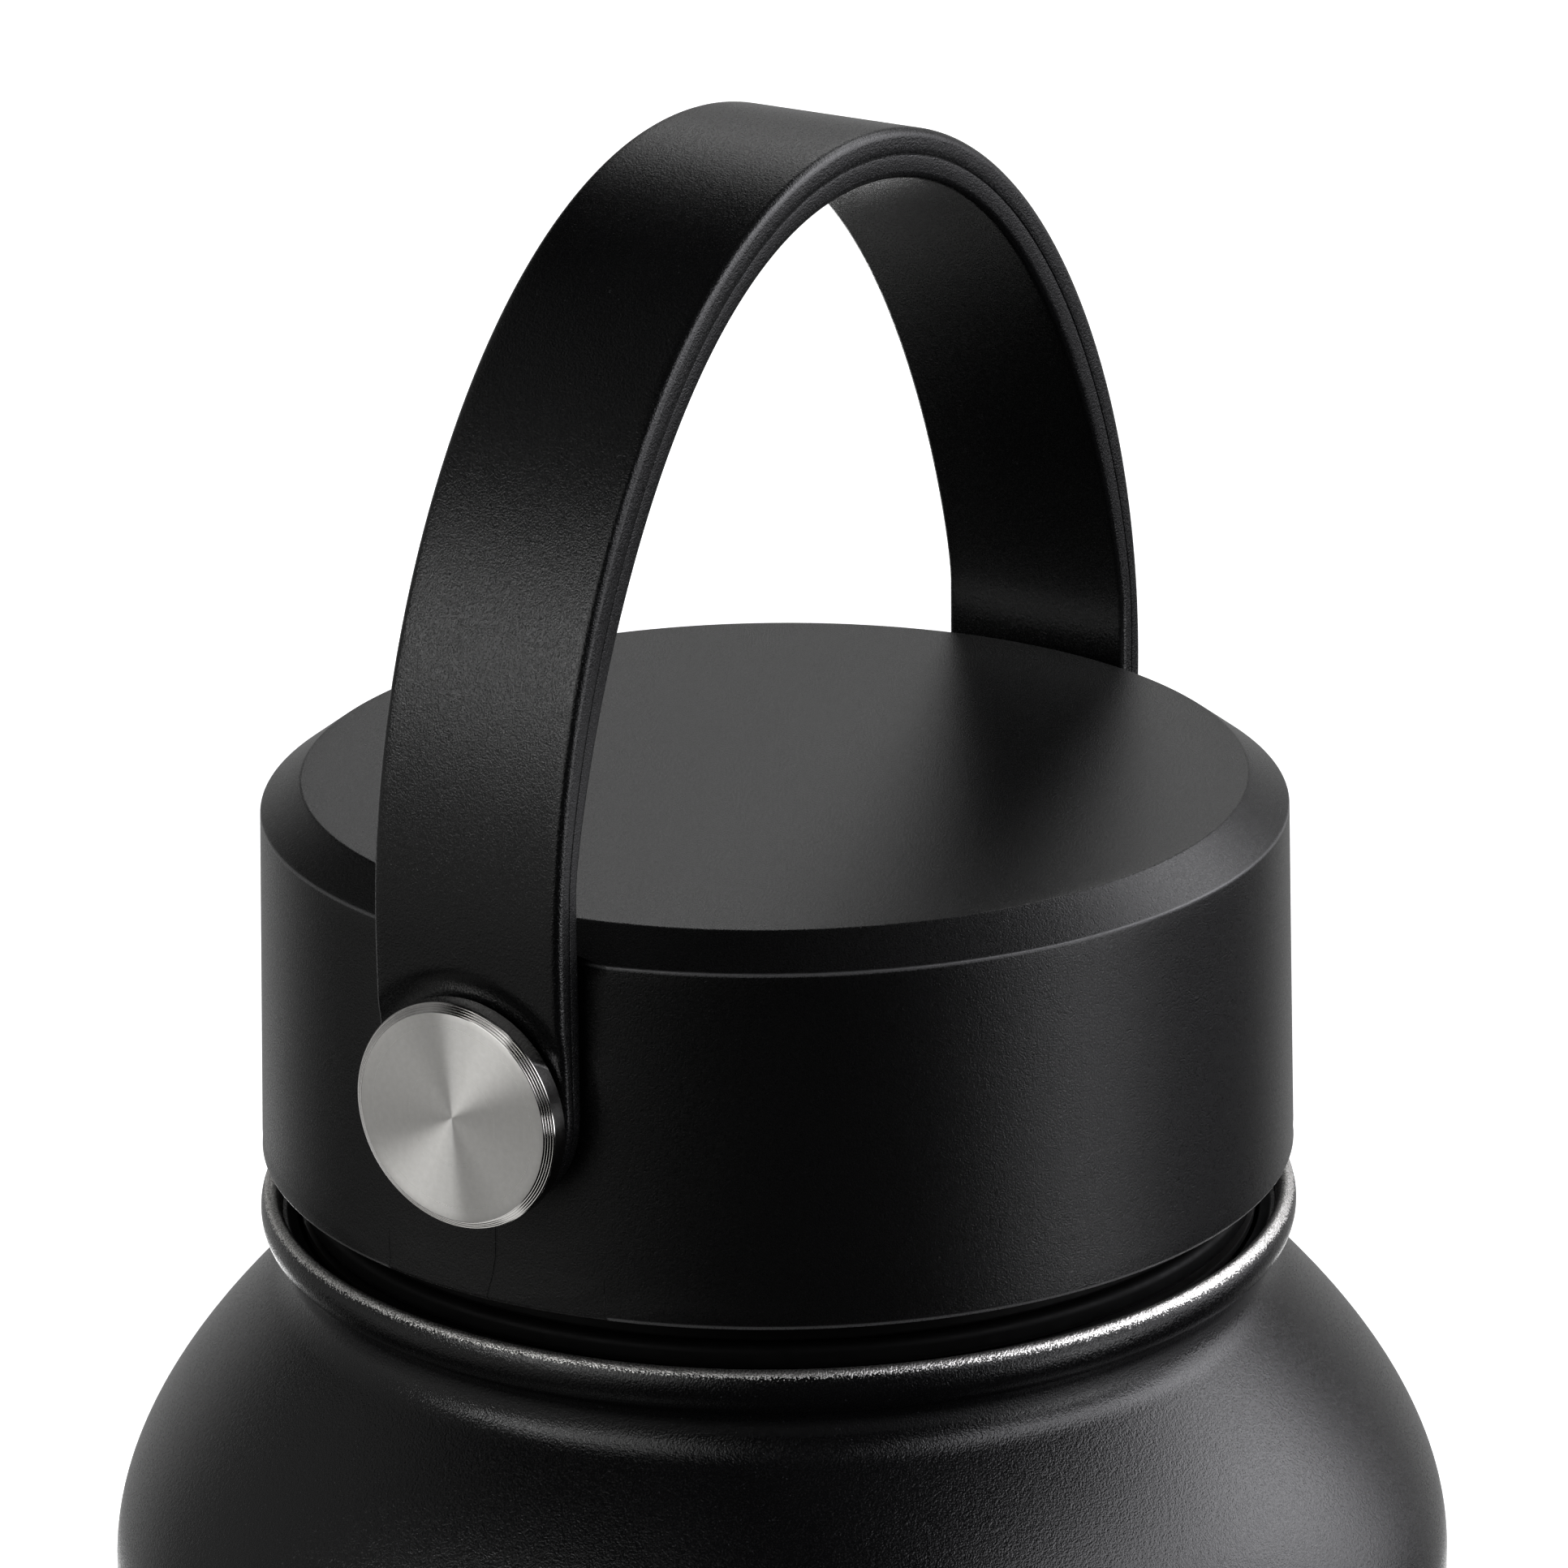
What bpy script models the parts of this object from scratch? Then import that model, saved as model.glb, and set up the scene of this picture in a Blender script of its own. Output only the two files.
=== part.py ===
"""Wide-mouth vacuum insulated water bottle with a screw lid and a swinging strap handle.

Metres, +Z up.  The origin is the centre of the circle that the bottle stands on.
The handle's pins lie along X, and the strap stands upright in the XZ plane.
"""
import bpy
import bmesh
import math
from mathutils import Matrix, Vector

MM = 0.001

# ---------------------------------------------------------------- driving dimensions, in millimetres
SEG = 48                    # facets round a large turned piece
SEG_SMALL = 24              # facets round a small one

LID_TOP = 232.0             # height of the lid's flat top above the base
BODY_R = 45.23              # outside radius of the straight wall
SHEET = 0.6                 # thickness of the outer sheet
LINER = 0.5                 # thickness of the inner sheet
GAP = 0.3                   # clearance between neighbouring pieces

SHOULDER_TOP = (34.0, LID_TOP - 35.46)      # where the dome of the shoulder starts (radius, height)
SHOULDER_ANGLE = 44.0                       # its slope there, down from horizontal, in degrees
SHOULDER_PULL = (5.54, 8.15)                # handle lengths of its curve, top and bottom
WALL_TOP = LID_TOP - 55.08                  # where the straight wall starts

BEAD_R, BEAD_Z = 34.03, LID_TOP - 30.0      # centre of the rolled lip
BEAD_A, BEAD_B = 0.70, 1.40                 # its half width and half height
NECK_R = 33.0                               # outside radius of the groove below the lip

MOUTH_R = 30.0                              # radius of the threaded mouth
SEAT_Z = LID_TOP - 29.9                     # ledge that the lid's gasket presses on
LINER_R = 41.4                              # outside radius of the inner wall
LINER_FLOOR = 12.0                          # lower edge of the inner wall
THREAD_PITCH = 4.0                          # lift in one turn of the lid
THREAD_TURNS = 1.75

BASE_RING = (38.4, 40.6)                    # inner and outer radius of the flat ring that it stands on
BASE_CORNER = 5.0                           # radius of the corner above that ring

CAP_R_TOP, CAP_R_BOTTOM = 33.97, 34.5       # side of the lid, at its chamfer and at its lower edge
CAP_FLAT_R, CAP_CHAMFER = 31.28, 1.99       # flat top, and the drop of its chamfer
CAP_BOTTOM = LID_TOP - 25.76
CAP_WALL, CAP_ROOF = 2.3, 3.0
FLAT_X = ((1.99, 32.90), (23.3, 33.44))     # flat for an end of the strap: depth below the lid's top, distance from the axis
FLAT_HALF = 9.4                             # half the width of its cutter, wider than the flat itself
FLAT_FOOT = (25.1, 1.4)                     # where the flat's ramp ends, and how far out it goes

PIN_Z = LID_TOP - 12.08                     # height of the handle's axis
PIN_HEAD_R, PIN_CHAMFER = 7.52, (0.6, 0.42)  # radius, and width and depth of the chamfer
PIN_HEAD_X = (36.2, 38.0)
PIN_SHANK_R = 2.5
PIN_TIP_X = 25.6
BOSS_R, BOSS_X = 5.6, 24.6                  # boss inside the lid, and its inner end
INSERT_R = 3.8

STRAP_W = 14.15                             # width of the strap
STRAP_EDGE = 0.5                            # rounding of its edges
STRAP_IN_X, STRAP_OUT_X = 33.7, 36.2        # faces of the leg beside the lid
STRAP_TIP_X = 35.95                         # outer face at the pin
STRAP_OUT = ((36.2, -1.4), (36.2, 20.3), (21.3, 43.73), (0.0, 43.73))   # outer arch, from the lid's top
STRAP_IN = ((33.7, 2.6), (33.7, 6.8), (24.9, 40.38), (0.0, 40.38))      # inner arch

# ---------------------------------------------------------------- a clean file, and two collections
for _ob in list(bpy.data.objects):
    bpy.data.objects.remove(_ob, do_unlink=True)

PARTS = bpy.data.collections.new("insulated_water_bottle")
CUTTERS = bpy.data.collections.new("cutters")
for _c in (PARTS, CUTTERS):
    bpy.context.scene.collection.children.link(_c)


def material(name, colour, rough, metal=0.0):
    m = bpy.data.materials.new(name)
    m.use_nodes = True
    b = m.node_tree.nodes["Principled BSDF"]
    b.inputs["Base Color"].default_value = (*colour, 1.0)
    b.inputs["Roughness"].default_value = rough
    b.inputs["Metallic"].default_value = metal
    m.diffuse_color = (*colour, 1.0)
    return m


def add_object(name, mesh, collection=PARTS):
    ob = bpy.data.objects.new(name, mesh)
    collection.objects.link(ob)
    return ob


def as_cutter(ob):
    for c in list(ob.users_collection):
        c.objects.unlink(ob)
    CUTTERS.objects.link(ob)
    ob.hide_render = True
    ob.display_type = 'WIRE'
    return ob


def baked(ob, sharp=32.0):
    """Applies the modifiers and shades the result smooth, with its real corners kept sharp."""
    bpy.context.view_layer.update()
    deps = bpy.context.evaluated_depsgraph_get()
    me = bpy.data.meshes.new_from_object(ob.evaluated_get(deps))
    ob.modifiers.clear()
    ob.data = me
    me.shade_smooth()
    me.set_sharp_from_angle(angle=math.radians(sharp))
    return ob


# ---------------------------------------------------------------- shape helpers
def line_mesh(name, pts, closed):
    """A profile in the XZ plane, from (radius, height) pairs in millimetres."""
    bm = bmesh.new()
    vs = [bm.verts.new((r * MM, 0.0, z * MM)) for r, z in pts]
    for a, b in zip(vs, vs[1:]):
        bm.edges.new((a, b))
    if closed:
        bm.edges.new((vs[-1], vs[0]))
    me = bpy.data.meshes.new(name)
    bm.to_mesh(me)
    bm.free()
    return me


def turned(name, pts, closed=True, seg=SEG):
    """A turned piece.  The profile runs down its outer side.  With closed=False it starts and ends on the axis."""
    ob = add_object(name, line_mesh(name, pts, closed))
    s = ob.modifiers.new("turn", 'SCREW')
    s.axis = 'Z'
    s.angle = 2.0 * math.pi
    s.steps = s.render_steps = seg
    s.use_merge_vertices = True
    s.merge_threshold = 0.00001
    s.use_smooth_shade = True
    baked(ob)
    bm = bmesh.new()
    bm.from_mesh(ob.data)
    bmesh.ops.remove_doubles(bm, verts=bm.verts, dist=0.000001)
    bm.to_mesh(ob.data)
    bm.free()
    return ob


def outline(name, pts, half_depth, rotation, edge=0.0):
    """A flat outline, thickened both ways, as a mesh in world axes.  edge rounds its rim."""
    cu = bpy.data.curves.new(name, 'CURVE')
    cu.dimensions = '2D'
    cu.fill_mode = 'BOTH'
    cu.extrude = (half_depth - edge) * MM
    if edge:
        cu.bevel_depth = edge * MM
        cu.offset = -edge * MM
        cu.bevel_resolution = 1
    sp = cu.splines.new('POLY')
    sp.points.add(len(pts) - 1)
    for p, (u, v) in zip(sp.points, pts):
        p.co = (u * MM, v * MM, 0.0, 1.0)
    sp.use_cyclic_u = True
    ob = add_object(name + "_outline", cu)
    ob.matrix_world = rotation
    return meshed(ob, name)


def tube(name, pts, radius, radii=None, resolution=1):
    """A round rod along the points, with filled ends, as a mesh."""
    cu = bpy.data.curves.new(name, 'CURVE')
    cu.dimensions = '3D'
    cu.bevel_depth = radius * MM
    cu.bevel_resolution = resolution
    cu.use_fill_caps = True
    sp = cu.splines.new('POLY')
    sp.points.add(len(pts) - 1)
    for i, (p, c) in enumerate(zip(sp.points, pts)):
        p.co = (c[0] * MM, c[1] * MM, c[2] * MM, 1.0)
        p.radius = 1.0 if radii is None else radii[i]
    ob = add_object(name + "_path", cu)
    return meshed(ob, name)


def meshed(ob, name):
    bpy.context.view_layer.update()
    deps = bpy.context.evaluated_depsgraph_get()
    me = bpy.data.meshes.new_from_object(ob.evaluated_get(deps))
    bm = bmesh.new()
    bm.from_mesh(me)
    bmesh.ops.remove_doubles(bm, verts=bm.verts, dist=0.000002)
    bmesh.ops.recalc_face_normals(bm, faces=bm.faces)
    bm.to_mesh(me)
    bm.free()
    new = add_object(name, me)
    new.matrix_world = ob.matrix_world.copy()
    bpy.data.objects.remove(ob, do_unlink=True)
    return new


def boolean(ob, tool, operation):
    m = ob.modifiers.new(operation.lower(), 'BOOLEAN')
    m.operation = operation
    m.object = tool
    m.solver = 'EXACT'


def rod_x(name, radius, x0, x1, z, seg=SEG_SMALL):
    """A plain cylinder along X, for cutting and joining."""
    bpy.ops.mesh.primitive_cylinder_add(vertices=seg, radius=radius * MM, depth=abs(x1 - x0) * MM,
                                        end_fill_type='NGON', location=(0.5 * (x0 + x1) * MM, 0.0, z * MM),
                                        rotation=(0.0, math.radians(90.0), 0.0))
    ob = bpy.context.object
    ob.name = name
    return as_cutter(ob)


def arc(cx, cz, ra, rb, a0, a1, n):
    """Points on an ellipse arc, angles in degrees, measured from +radius towards +height."""
    return [(cx + ra * math.cos(math.radians(a0 + (a1 - a0) * i / n)),
             cz + rb * math.sin(math.radians(a0 + (a1 - a0) * i / n))) for i in range(n + 1)]


def bezier(p0, p1, p2, p3, n):
    out = []
    for i in range(n + 1):
        t = i / n
        a, b, c, d = (1 - t) ** 3, 3 * (1 - t) ** 2 * t, 3 * (1 - t) * t * t, t ** 3
        out.append((a * p0[0] + b * p1[0] + c * p2[0] + d * p3[0], a * p0[1] + b * p1[1] + c * p2[1] + d * p3[1]))
    return out


def inward(pts, d):
    """The same profile moved by d towards the axis side, for a profile that runs down its outer side."""
    out = []
    for i, p in enumerate(pts):
        a = pts[max(i - 1, 0)]
        b = pts[min(i + 1, len(pts) - 1)]
        tx, tz = b[0] - a[0], b[1] - a[1]
        n = math.hypot(tx, tz)
        out.append((p[0] + d * tz / n, p[1] - d * tx / n))
    return out


def place(ob, mat, pivot=None):
    ob.data.materials.clear()
    ob.data.materials.append(mat)
    if pivot is not None:
        ob.data.transform(Matrix.Translation(-Vector(pivot)) @ ob.matrix_world)
        ob.matrix_world = Matrix.Translation(pivot)
    return ob


# ---------------------------------------------------------------- the shoulder's curve, shared by both walls
_a = math.radians(SHOULDER_ANGLE)
SHOULDER = bezier(SHOULDER_TOP,
                  (SHOULDER_TOP[0] + SHOULDER_PULL[0] * math.cos(_a), SHOULDER_TOP[1] - SHOULDER_PULL[0] * math.sin(_a)),
                  (BODY_R, WALL_TOP + SHOULDER_PULL[1]), (BODY_R, WALL_TOP), 8)

# ---------------------------------------------------------------- bottle: outer shell with its rolled lip
def outer_shell():
    neck = [(33.4, LID_TOP - 31.75), (33.06, LID_TOP - 32.3), (NECK_R, LID_TOP - 33.3), (33.14, LID_TOP - 34.2),
            (33.5, LID_TOP - 34.85)]
    wall = neck + SHOULDER + [(BODY_R, 90.0)]
    corner = arc(BODY_R - BASE_CORNER, BASE_CORNER, BASE_CORNER, BASE_CORNER, 0, -72, 4)
    skin = wall + corner
    inner = inward(skin, SHEET)
    inner = [(32.3, LID_TOP - 31.75), (32.3, LID_TOP - 34.0), (32.75, LID_TOP - 35.2)] + inner[len(neck) + 2:len(neck) + len(SHOULDER):2] \
        + inner[len(neck) + len(SHOULDER) + 1::2]
    lip = arc(BEAD_R, BEAD_Z, BEAD_A, BEAD_B, 178, -100, 9)
    foot = [(BASE_RING[1], 0.0), (BASE_RING[0], 0.0), (37.6, 0.9), (37.6, 2.6), (38.2, 2.6), (38.2, 1.2), (38.7, 0.6),
            (BASE_RING[1] + 0.4, 0.62)]
    back = [p for p in reversed(inner)]
    profile = [(32.3, LID_TOP - 30.2)] + lip + skin + foot + back
    return turned("outer_shell", profile)


# ---------------------------------------------------------------- bottle: inner wall with the mouth's thread
def helix(radius, z0, turns, seg):
    n = int(round(turns * seg))
    pts, radii = [], []
    for i in range(n + 1):
        t = i / seg
        a = 2.0 * math.pi * t
        pts.append((radius * math.cos(a), radius * math.sin(a), z0 + THREAD_PITCH * t))
        edge = min(i, n - i) / (0.12 * seg)
        radii.append(min(1.0, 0.45 + 0.55 * edge))
    return pts, radii


def inner_wall():
    dome = inward(SHOULDER, BODY_R - LINER_R)
    dome = [p for p in dome if p[0] > MOUTH_R + 1.6]
    out = ([(32.0, SEAT_Z), (32.0, SEAT_Z - LINER), (31.2, SEAT_Z - LINER - 0.1), (MOUTH_R + LINER, SEAT_Z - 1.4),
            (MOUTH_R + LINER, dome[0][1] + 2.6), (MOUTH_R + LINER + 0.5, dome[0][1] + 0.9)]
           + dome + [(LINER_R, LINER_FLOOR)])
    skin = inward(out[4:], LINER)
    skin = skin[:2] + skin[-2:1:-2][::-1]
    back = [(LINER_R - LINER, LINER_FLOOR)] + list(reversed(skin)) + [(MOUTH_R, SEAT_Z - 1.2), (30.9, SEAT_Z)]
    ob = turned("inner_wall", out + back)
    pts, radii = helix(MOUTH_R + 0.1, LID_TOP - 41.0, THREAD_TURNS, 36)
    ridge = as_cutter(tube("mouth_thread", pts, 1.0, radii))
    boolean(ob, ridge, 'UNION')
    return baked(ob)


def inner_bottom():
    """Pressed floor of the inner wall: over the rim, down its outer side, in along the underside."""
    r = LINER_R - LINER - GAP
    z = LINER_FLOOR
    under = [(r, z + 3.7)] + arc(r - 3.0, z + 2.9, 3.0, 3.0, 0, -80, 4) + [(20.0, z), (0.0, z + 0.6)]
    over = ([(0.0, z + 0.6 + LINER), (20.0, z + LINER)]
            + arc(r - 3.0, z + 2.9, 3.0 - LINER, 3.0 - LINER, -80, 0, 4) + [(r - LINER, z + 3.7)])
    return turned("inner_bottom", over + under, closed=False, seg=40)


# ---------------------------------------------------------------- bottle: base
def base_plate():
    r = 37.6 - GAP
    t = SHEET
    loop = ([(r, 6.4), (r, 2.8)] + arc(r - 1.4, 2.8, 1.4, 1.0, 0, -90, 3)[1:]
            + [(26.4, 1.8), (25.9, 2.8), (1.6, 2.8), (1.6, 2.8 + t), (26.5, 2.8 + t), (27.0, 1.8 + t), (r - 1.6, 1.8 + t),
               (r - t, 3.2), (r - t, 6.4)])
    return turned("base_plate", loop)


def base_cover():
    return turned("base_cover", [(0.0, 2.5), (25.1, 2.5), (25.5, 2.2), (25.3, 1.9), (24.6, 1.8), (0.0, 1.8)], closed=False)


def seal_plug():
    """Solder pellet that closes the hole which the air was drawn out through."""
    z = 2.8 + SHEET
    return turned("vacuum_seal_plug", [(0.0, z + 1.6), (1.4, z + 1.35), (2.3, z + 0.8), (2.4, z + GAP), (1.3, z + GAP),
                                       (1.3, 2.85), (0.0, 2.85)], closed=False, seg=SEG_SMALL)


def getter():
    z = 2.8 + SHEET + GAP
    ob = turned("getter", [(0.0, z + 2.2), (4.4, z + 2.2), (5.2, z + 2.6), (5.8, z + 2.4), (6.0, z + 1.8), (6.0, z), (0.0, z)],
                closed=False, seg=SEG_SMALL)
    ob.data.transform(Matrix.Translation((14.0 * MM, 0.0, 0.0)))
    return ob


# ---------------------------------------------------------------- lid
def flat_cutter(name, side):
    """Flat on the lid's side for an end of the strap: it runs out sideways, and in a soft ramp at its foot."""
    n = 3
    (d0, x0), (d1, x1) = FLAT_X
    ramp = [(x1 + FLAT_FOOT[1] * (0.5 - 0.5 * math.cos(math.pi * i / n)),
             LID_TOP - d1 - (FLAT_FOOT[0] - d1) * i / n) for i in range(n + 1)]
    pts = [(x0 - 0.05, LID_TOP + 3.0), (x0, LID_TOP - d0)] + ramp
    pts += [(x1 + 6.0, LID_TOP - FLAT_FOOT[0]), (x1 + 6.0, LID_TOP + 3.0)]
    pts = [(side * x, z) for x, z in pts]
    return as_cutter(outline(name, pts, FLAT_HALF, Matrix.Rotation(math.radians(90.0), 4, 'X')))


def cap_shell():
    z = LID_TOP
    out = [(0.0, z), (CAP_FLAT_R, z), (CAP_R_TOP, z - CAP_CHAMFER), (0.5 * (CAP_R_TOP + CAP_R_BOTTOM) + 0.01, z - 13.9),
           (CAP_R_BOTTOM, CAP_BOTTOM + 0.4), (CAP_R_BOTTOM - 0.3, CAP_BOTTOM)]
    inn = [(CAP_R_BOTTOM - CAP_WALL, CAP_BOTTOM), (CAP_R_BOTTOM - CAP_WALL, z - CAP_ROOF - 3.0),
           (CAP_R_BOTTOM - CAP_WALL - 3.0, z - CAP_ROOF), (0.0, z - CAP_ROOF)]
    ob = turned("cap_shell", out + inn, closed=False, seg=64)
    for side, tag in ((-1, "left"), (1, "right")):
        boolean(ob, rod_x("boss_" + tag, BOSS_R, side * BOSS_X, side * 32.9, PIN_Z), 'UNION')
    for side, tag in ((-1, "left"), (1, "right")):
        boolean(ob, flat_cutter("flat_" + tag, side), 'DIFFERENCE')
        boolean(ob, rod_x("insert_bore_" + tag, INSERT_R + GAP, side * (BOSS_X - 1.0), side * 31.0, PIN_Z), 'DIFFERENCE')
        boolean(ob, rod_x("pin_bore_" + tag, PIN_SHANK_R + GAP, side * 30.5, side * 36.0, PIN_Z), 'DIFFERENCE')
    return baked(ob)


PLUG_ROOT = 28.4
PLUG_FLOOR = LID_TOP - 49.0


def threaded_plug():
    z = LID_TOP
    out = [(31.8, z - 24.2), (31.8, z - 27.35), (31.55, z - 27.6),
           (29.55, z - 27.6), (29.55, z - 29.8), (PLUG_ROOT, z - 30.4), (PLUG_ROOT, PLUG_FLOOR + 1.5),
           (PLUG_ROOT - 0.5, PLUG_FLOOR + 0.4), (PLUG_ROOT - 1.6, PLUG_FLOOR), (0.0, PLUG_FLOOR)]
    inn = [(0.0, PLUG_FLOOR + 2.2), (26.2, PLUG_FLOOR + 2.2), (26.2, z - 26.4), (30.0, z - 24.2)]
    ob = turned("threaded_plug", inn + out, closed=False)
    pts, radii = helix(PLUG_ROOT + 0.1, LID_TOP - 43.0, THREAD_TURNS, 36)
    ridge = as_cutter(tube("plug_thread", pts, 1.1, radii))
    boolean(ob, ridge, 'UNION')
    return baked(ob)


def lid_gasket():
    z = LID_TOP
    loop = [(31.6, z - 27.9), (31.95, z - 28.2), (31.95, z - 29.2), (31.6, z - 29.6), (30.2, z - 29.6), (29.85, z - 29.2),
            (29.85, z - 28.2), (30.2, z - 27.9)]
    return turned("lid_gasket", loop)


def foam_core():
    z = LID_TOP
    loop = [(0.0, z - CAP_ROOF - GAP), (23.6, z - CAP_ROOF - GAP), (24.2, z - CAP_ROOF - 0.9), (24.2, z - 26.0),
            (25.9, z - 26.6), (25.9, PLUG_FLOOR + 3.2), (25.2, PLUG_FLOOR + 2.5), (0.0, PLUG_FLOOR + 2.5)]
    return turned("foam_core", loop, closed=False, seg=36)


# ---------------------------------------------------------------- handle
def strap_outline(n_low, n_arch):
    out = bezier(*STRAP_OUT, n_arch)
    inn = bezier(*STRAP_IN, n_arch)
    z_end = PIN_Z - LID_TOP - 0.5 * STRAP_W - 2.0
    low = []
    for i in range(n_low + 1):
        z = z_end + (STRAP_OUT[0][1] - z_end) * i / n_low
        t = max(0.0, (STRAP_OUT[0][1] - z) / (STRAP_OUT[0][1] - (PIN_Z - LID_TOP)))
        low.append((STRAP_OUT_X - (STRAP_OUT_X - STRAP_TIP_X) * min(1.0, t) ** 2, z))
    right = low[:-1] + out[:-1]
    left = [(-x, z) for x, z in reversed(right)]
    outer = right + [(0.0, STRAP_OUT[3][1])] + left
    inner_r = [(STRAP_IN_X, z_end)] + inn[:-1]
    inner = [(-x, z) for x, z in inner_r] + [(0.0, STRAP_IN[3][1])] + list(reversed(inner_r))
    return [(x, z + LID_TOP) for x, z in outer + inner]


def strap_handle():
    upright = Matrix.Rotation(math.radians(90.0), 4, 'X')
    ob = outline("strap_handle", strap_outline(3, 18), 0.5 * STRAP_W, upright, STRAP_EDGE)
    r = 0.5 * STRAP_W - 0.05
    n = 16
    plan = [(r + 3.0, LID_TOP + 60.0), (-r - 3.0, LID_TOP + 60.0), (-r - 3.0, PIN_Z + 3.0)]
    plan += [(-r * math.cos(math.pi * i / n), PIN_Z - r * math.sin(math.pi * i / n)) for i in range(n + 1)]
    plan += [(r + 3.0, PIN_Z + 3.0)]
    turn = Matrix.Rotation(math.radians(90.0), 4, 'Z') @ Matrix.Rotation(math.radians(90.0), 4, 'X')
    boolean(ob, as_cutter(outline("strap_ends", plan, 60.0, turn)), 'INTERSECT')
    for side, tag in ((-1, "left"), (1, "right")):
        boolean(ob, rod_x("strap_bore_" + tag, 3.8, side * 32.0, side * 38.0, PIN_Z), 'DIFFERENCE')
        boolean(ob, rod_x("washer_seat_" + tag, 6.2, side * 34.95, side * 38.0, PIN_Z), 'DIFFERENCE')
    return baked(ob)


def pin(name, side):
    x0, x1 = PIN_HEAD_X
    loop = [(0.0, x1), (PIN_HEAD_R - PIN_CHAMFER[0], x1), (PIN_HEAD_R, x1 - PIN_CHAMFER[1]), (PIN_HEAD_R, x0), (PIN_SHANK_R, x0),
            (PIN_SHANK_R, PIN_TIP_X + 0.5), (PIN_SHANK_R - 0.5, PIN_TIP_X), (0.0, PIN_TIP_X)]
    return across(turned(name, loop, closed=False, seg=40), side)


def bush(name, side):
    loop = [(3.5, 35.8), (3.5, 33.7), (2.8, 33.7), (2.8, 35.8)]
    return across(turned(name, loop, seg=SEG_SMALL), side)


def washer(name, side):
    """Spring washer under the pin's head: a shallow cone that keeps the strap from flapping."""
    loop = [(4.0, 35.88), (5.85, 35.58), (5.85, 35.28), (4.0, 35.58)]
    return across(turned(name, loop, seg=SEG_SMALL), side)


def insert(name, side):
    loop = [(INSERT_R, 30.6), (INSERT_R, 28.6), (INSERT_R - 0.3, 28.3), (INSERT_R - 0.3, 27.3), (INSERT_R, 27.0),
            (INSERT_R, 25.0), (2.8, 25.0), (2.8, 30.6)]
    return across(turned(name, loop, seg=SEG_SMALL), side)


def across(ob, side):
    """Lays a piece turned about Z along the pin's axis, facing out on the given side."""
    ob.data.transform(Matrix.Translation((0.0, 0.0, PIN_Z * MM)) @ Matrix.Rotation(math.radians(90.0 * side), 4, 'Y'))
    return ob


# ---------------------------------------------------------------- materials and assembly
COAT = material("black_powder_coat", (0.012, 0.012, 0.013), 0.42)
STEEL = material("brushed_stainless", (0.62, 0.61, 0.59), 0.28, 1.0)
STEEL_RAW = material("drawn_stainless", (0.56, 0.56, 0.55), 0.38, 1.0)
CAP = material("black_lid_plastic", (0.016, 0.016, 0.016), 0.48)
GLOSS = material("black_gloss_plastic", (0.010, 0.010, 0.010), 0.18)
SILICONE = material("black_silicone", (0.014, 0.014, 0.014), 0.30)
STRAP = material("black_strap_elastomer", (0.015, 0.015, 0.015), 0.55)
FOAM = material("white_foam", (0.85, 0.84, 0.80), 0.9)
ACETAL = material("white_acetal", (0.80, 0.80, 0.78), 0.45)
BRASS = material("brass", (0.72, 0.52, 0.22), 0.3, 1.0)
GETTER = material("getter_metal", (0.30, 0.30, 0.31), 0.6, 1.0)
SOLDER = material("solder_glass", (0.10, 0.11, 0.12), 0.25)

place(outer_shell(), COAT)
place(inner_wall(), STEEL_RAW)
place(inner_bottom(), STEEL_RAW)
place(base_plate(), STEEL)
place(base_cover(), STEEL)
place(seal_plug(), SOLDER)
place(getter(), GETTER)

# the lid turns and lifts about the bottle's own axis, so its pieces keep their origins on it
place(cap_shell(), CAP)
place(threaded_plug(), GLOSS)
place(lid_gasket(), SILICONE)
place(foam_core(), FOAM)

AXIS = (0.0, 0.0, PIN_Z * MM)
swing = bpy.data.objects.new("handle_axis", None)
swing.location = AXIS
PARTS.objects.link(swing)
bpy.context.view_layer.update()
handle_pieces = [place(strap_handle(), STRAP, AXIS)]
for side, tag in ((-1, "left"), (1, "right")):
    place(pin("pivot_pin_" + tag, side), STEEL)
    place(insert("pin_insert_" + tag, side), BRASS)
    place(washer("spring_washer_" + tag, side), STEEL_RAW)
    handle_pieces.append(place(bush("strap_bush_" + tag, side), ACETAL, AXIS))
for ob in handle_pieces:
    ob.parent = swing
    ob.matrix_parent_inverse = swing.matrix_world.inverted()
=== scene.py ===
"""Looks of the insulated water bottle: fine meshes, procedural materials, studio and camera."""
import math
import bpy
import bmesh
from mathutils import Matrix, Vector

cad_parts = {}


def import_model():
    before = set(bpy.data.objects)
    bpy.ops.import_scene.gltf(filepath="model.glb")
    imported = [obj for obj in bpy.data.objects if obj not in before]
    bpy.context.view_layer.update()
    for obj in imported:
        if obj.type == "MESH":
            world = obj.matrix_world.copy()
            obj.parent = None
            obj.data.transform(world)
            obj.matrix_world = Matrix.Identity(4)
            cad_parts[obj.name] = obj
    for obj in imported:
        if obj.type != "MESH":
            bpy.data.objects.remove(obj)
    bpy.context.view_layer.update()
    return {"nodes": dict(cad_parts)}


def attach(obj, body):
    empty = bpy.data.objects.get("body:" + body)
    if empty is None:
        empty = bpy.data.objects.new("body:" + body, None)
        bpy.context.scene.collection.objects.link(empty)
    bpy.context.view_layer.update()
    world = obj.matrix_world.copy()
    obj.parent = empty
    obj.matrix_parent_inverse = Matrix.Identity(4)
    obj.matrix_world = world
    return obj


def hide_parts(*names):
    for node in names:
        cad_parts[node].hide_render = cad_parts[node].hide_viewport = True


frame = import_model()

MM = 0.001
H = 232.0                       # height of the lid's flat top
PIN_Z = H - 12.08
SEG = 288                       # facets round a large turned piece

# =====================================================================================
# mesh helpers
# =====================================================================================


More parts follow.
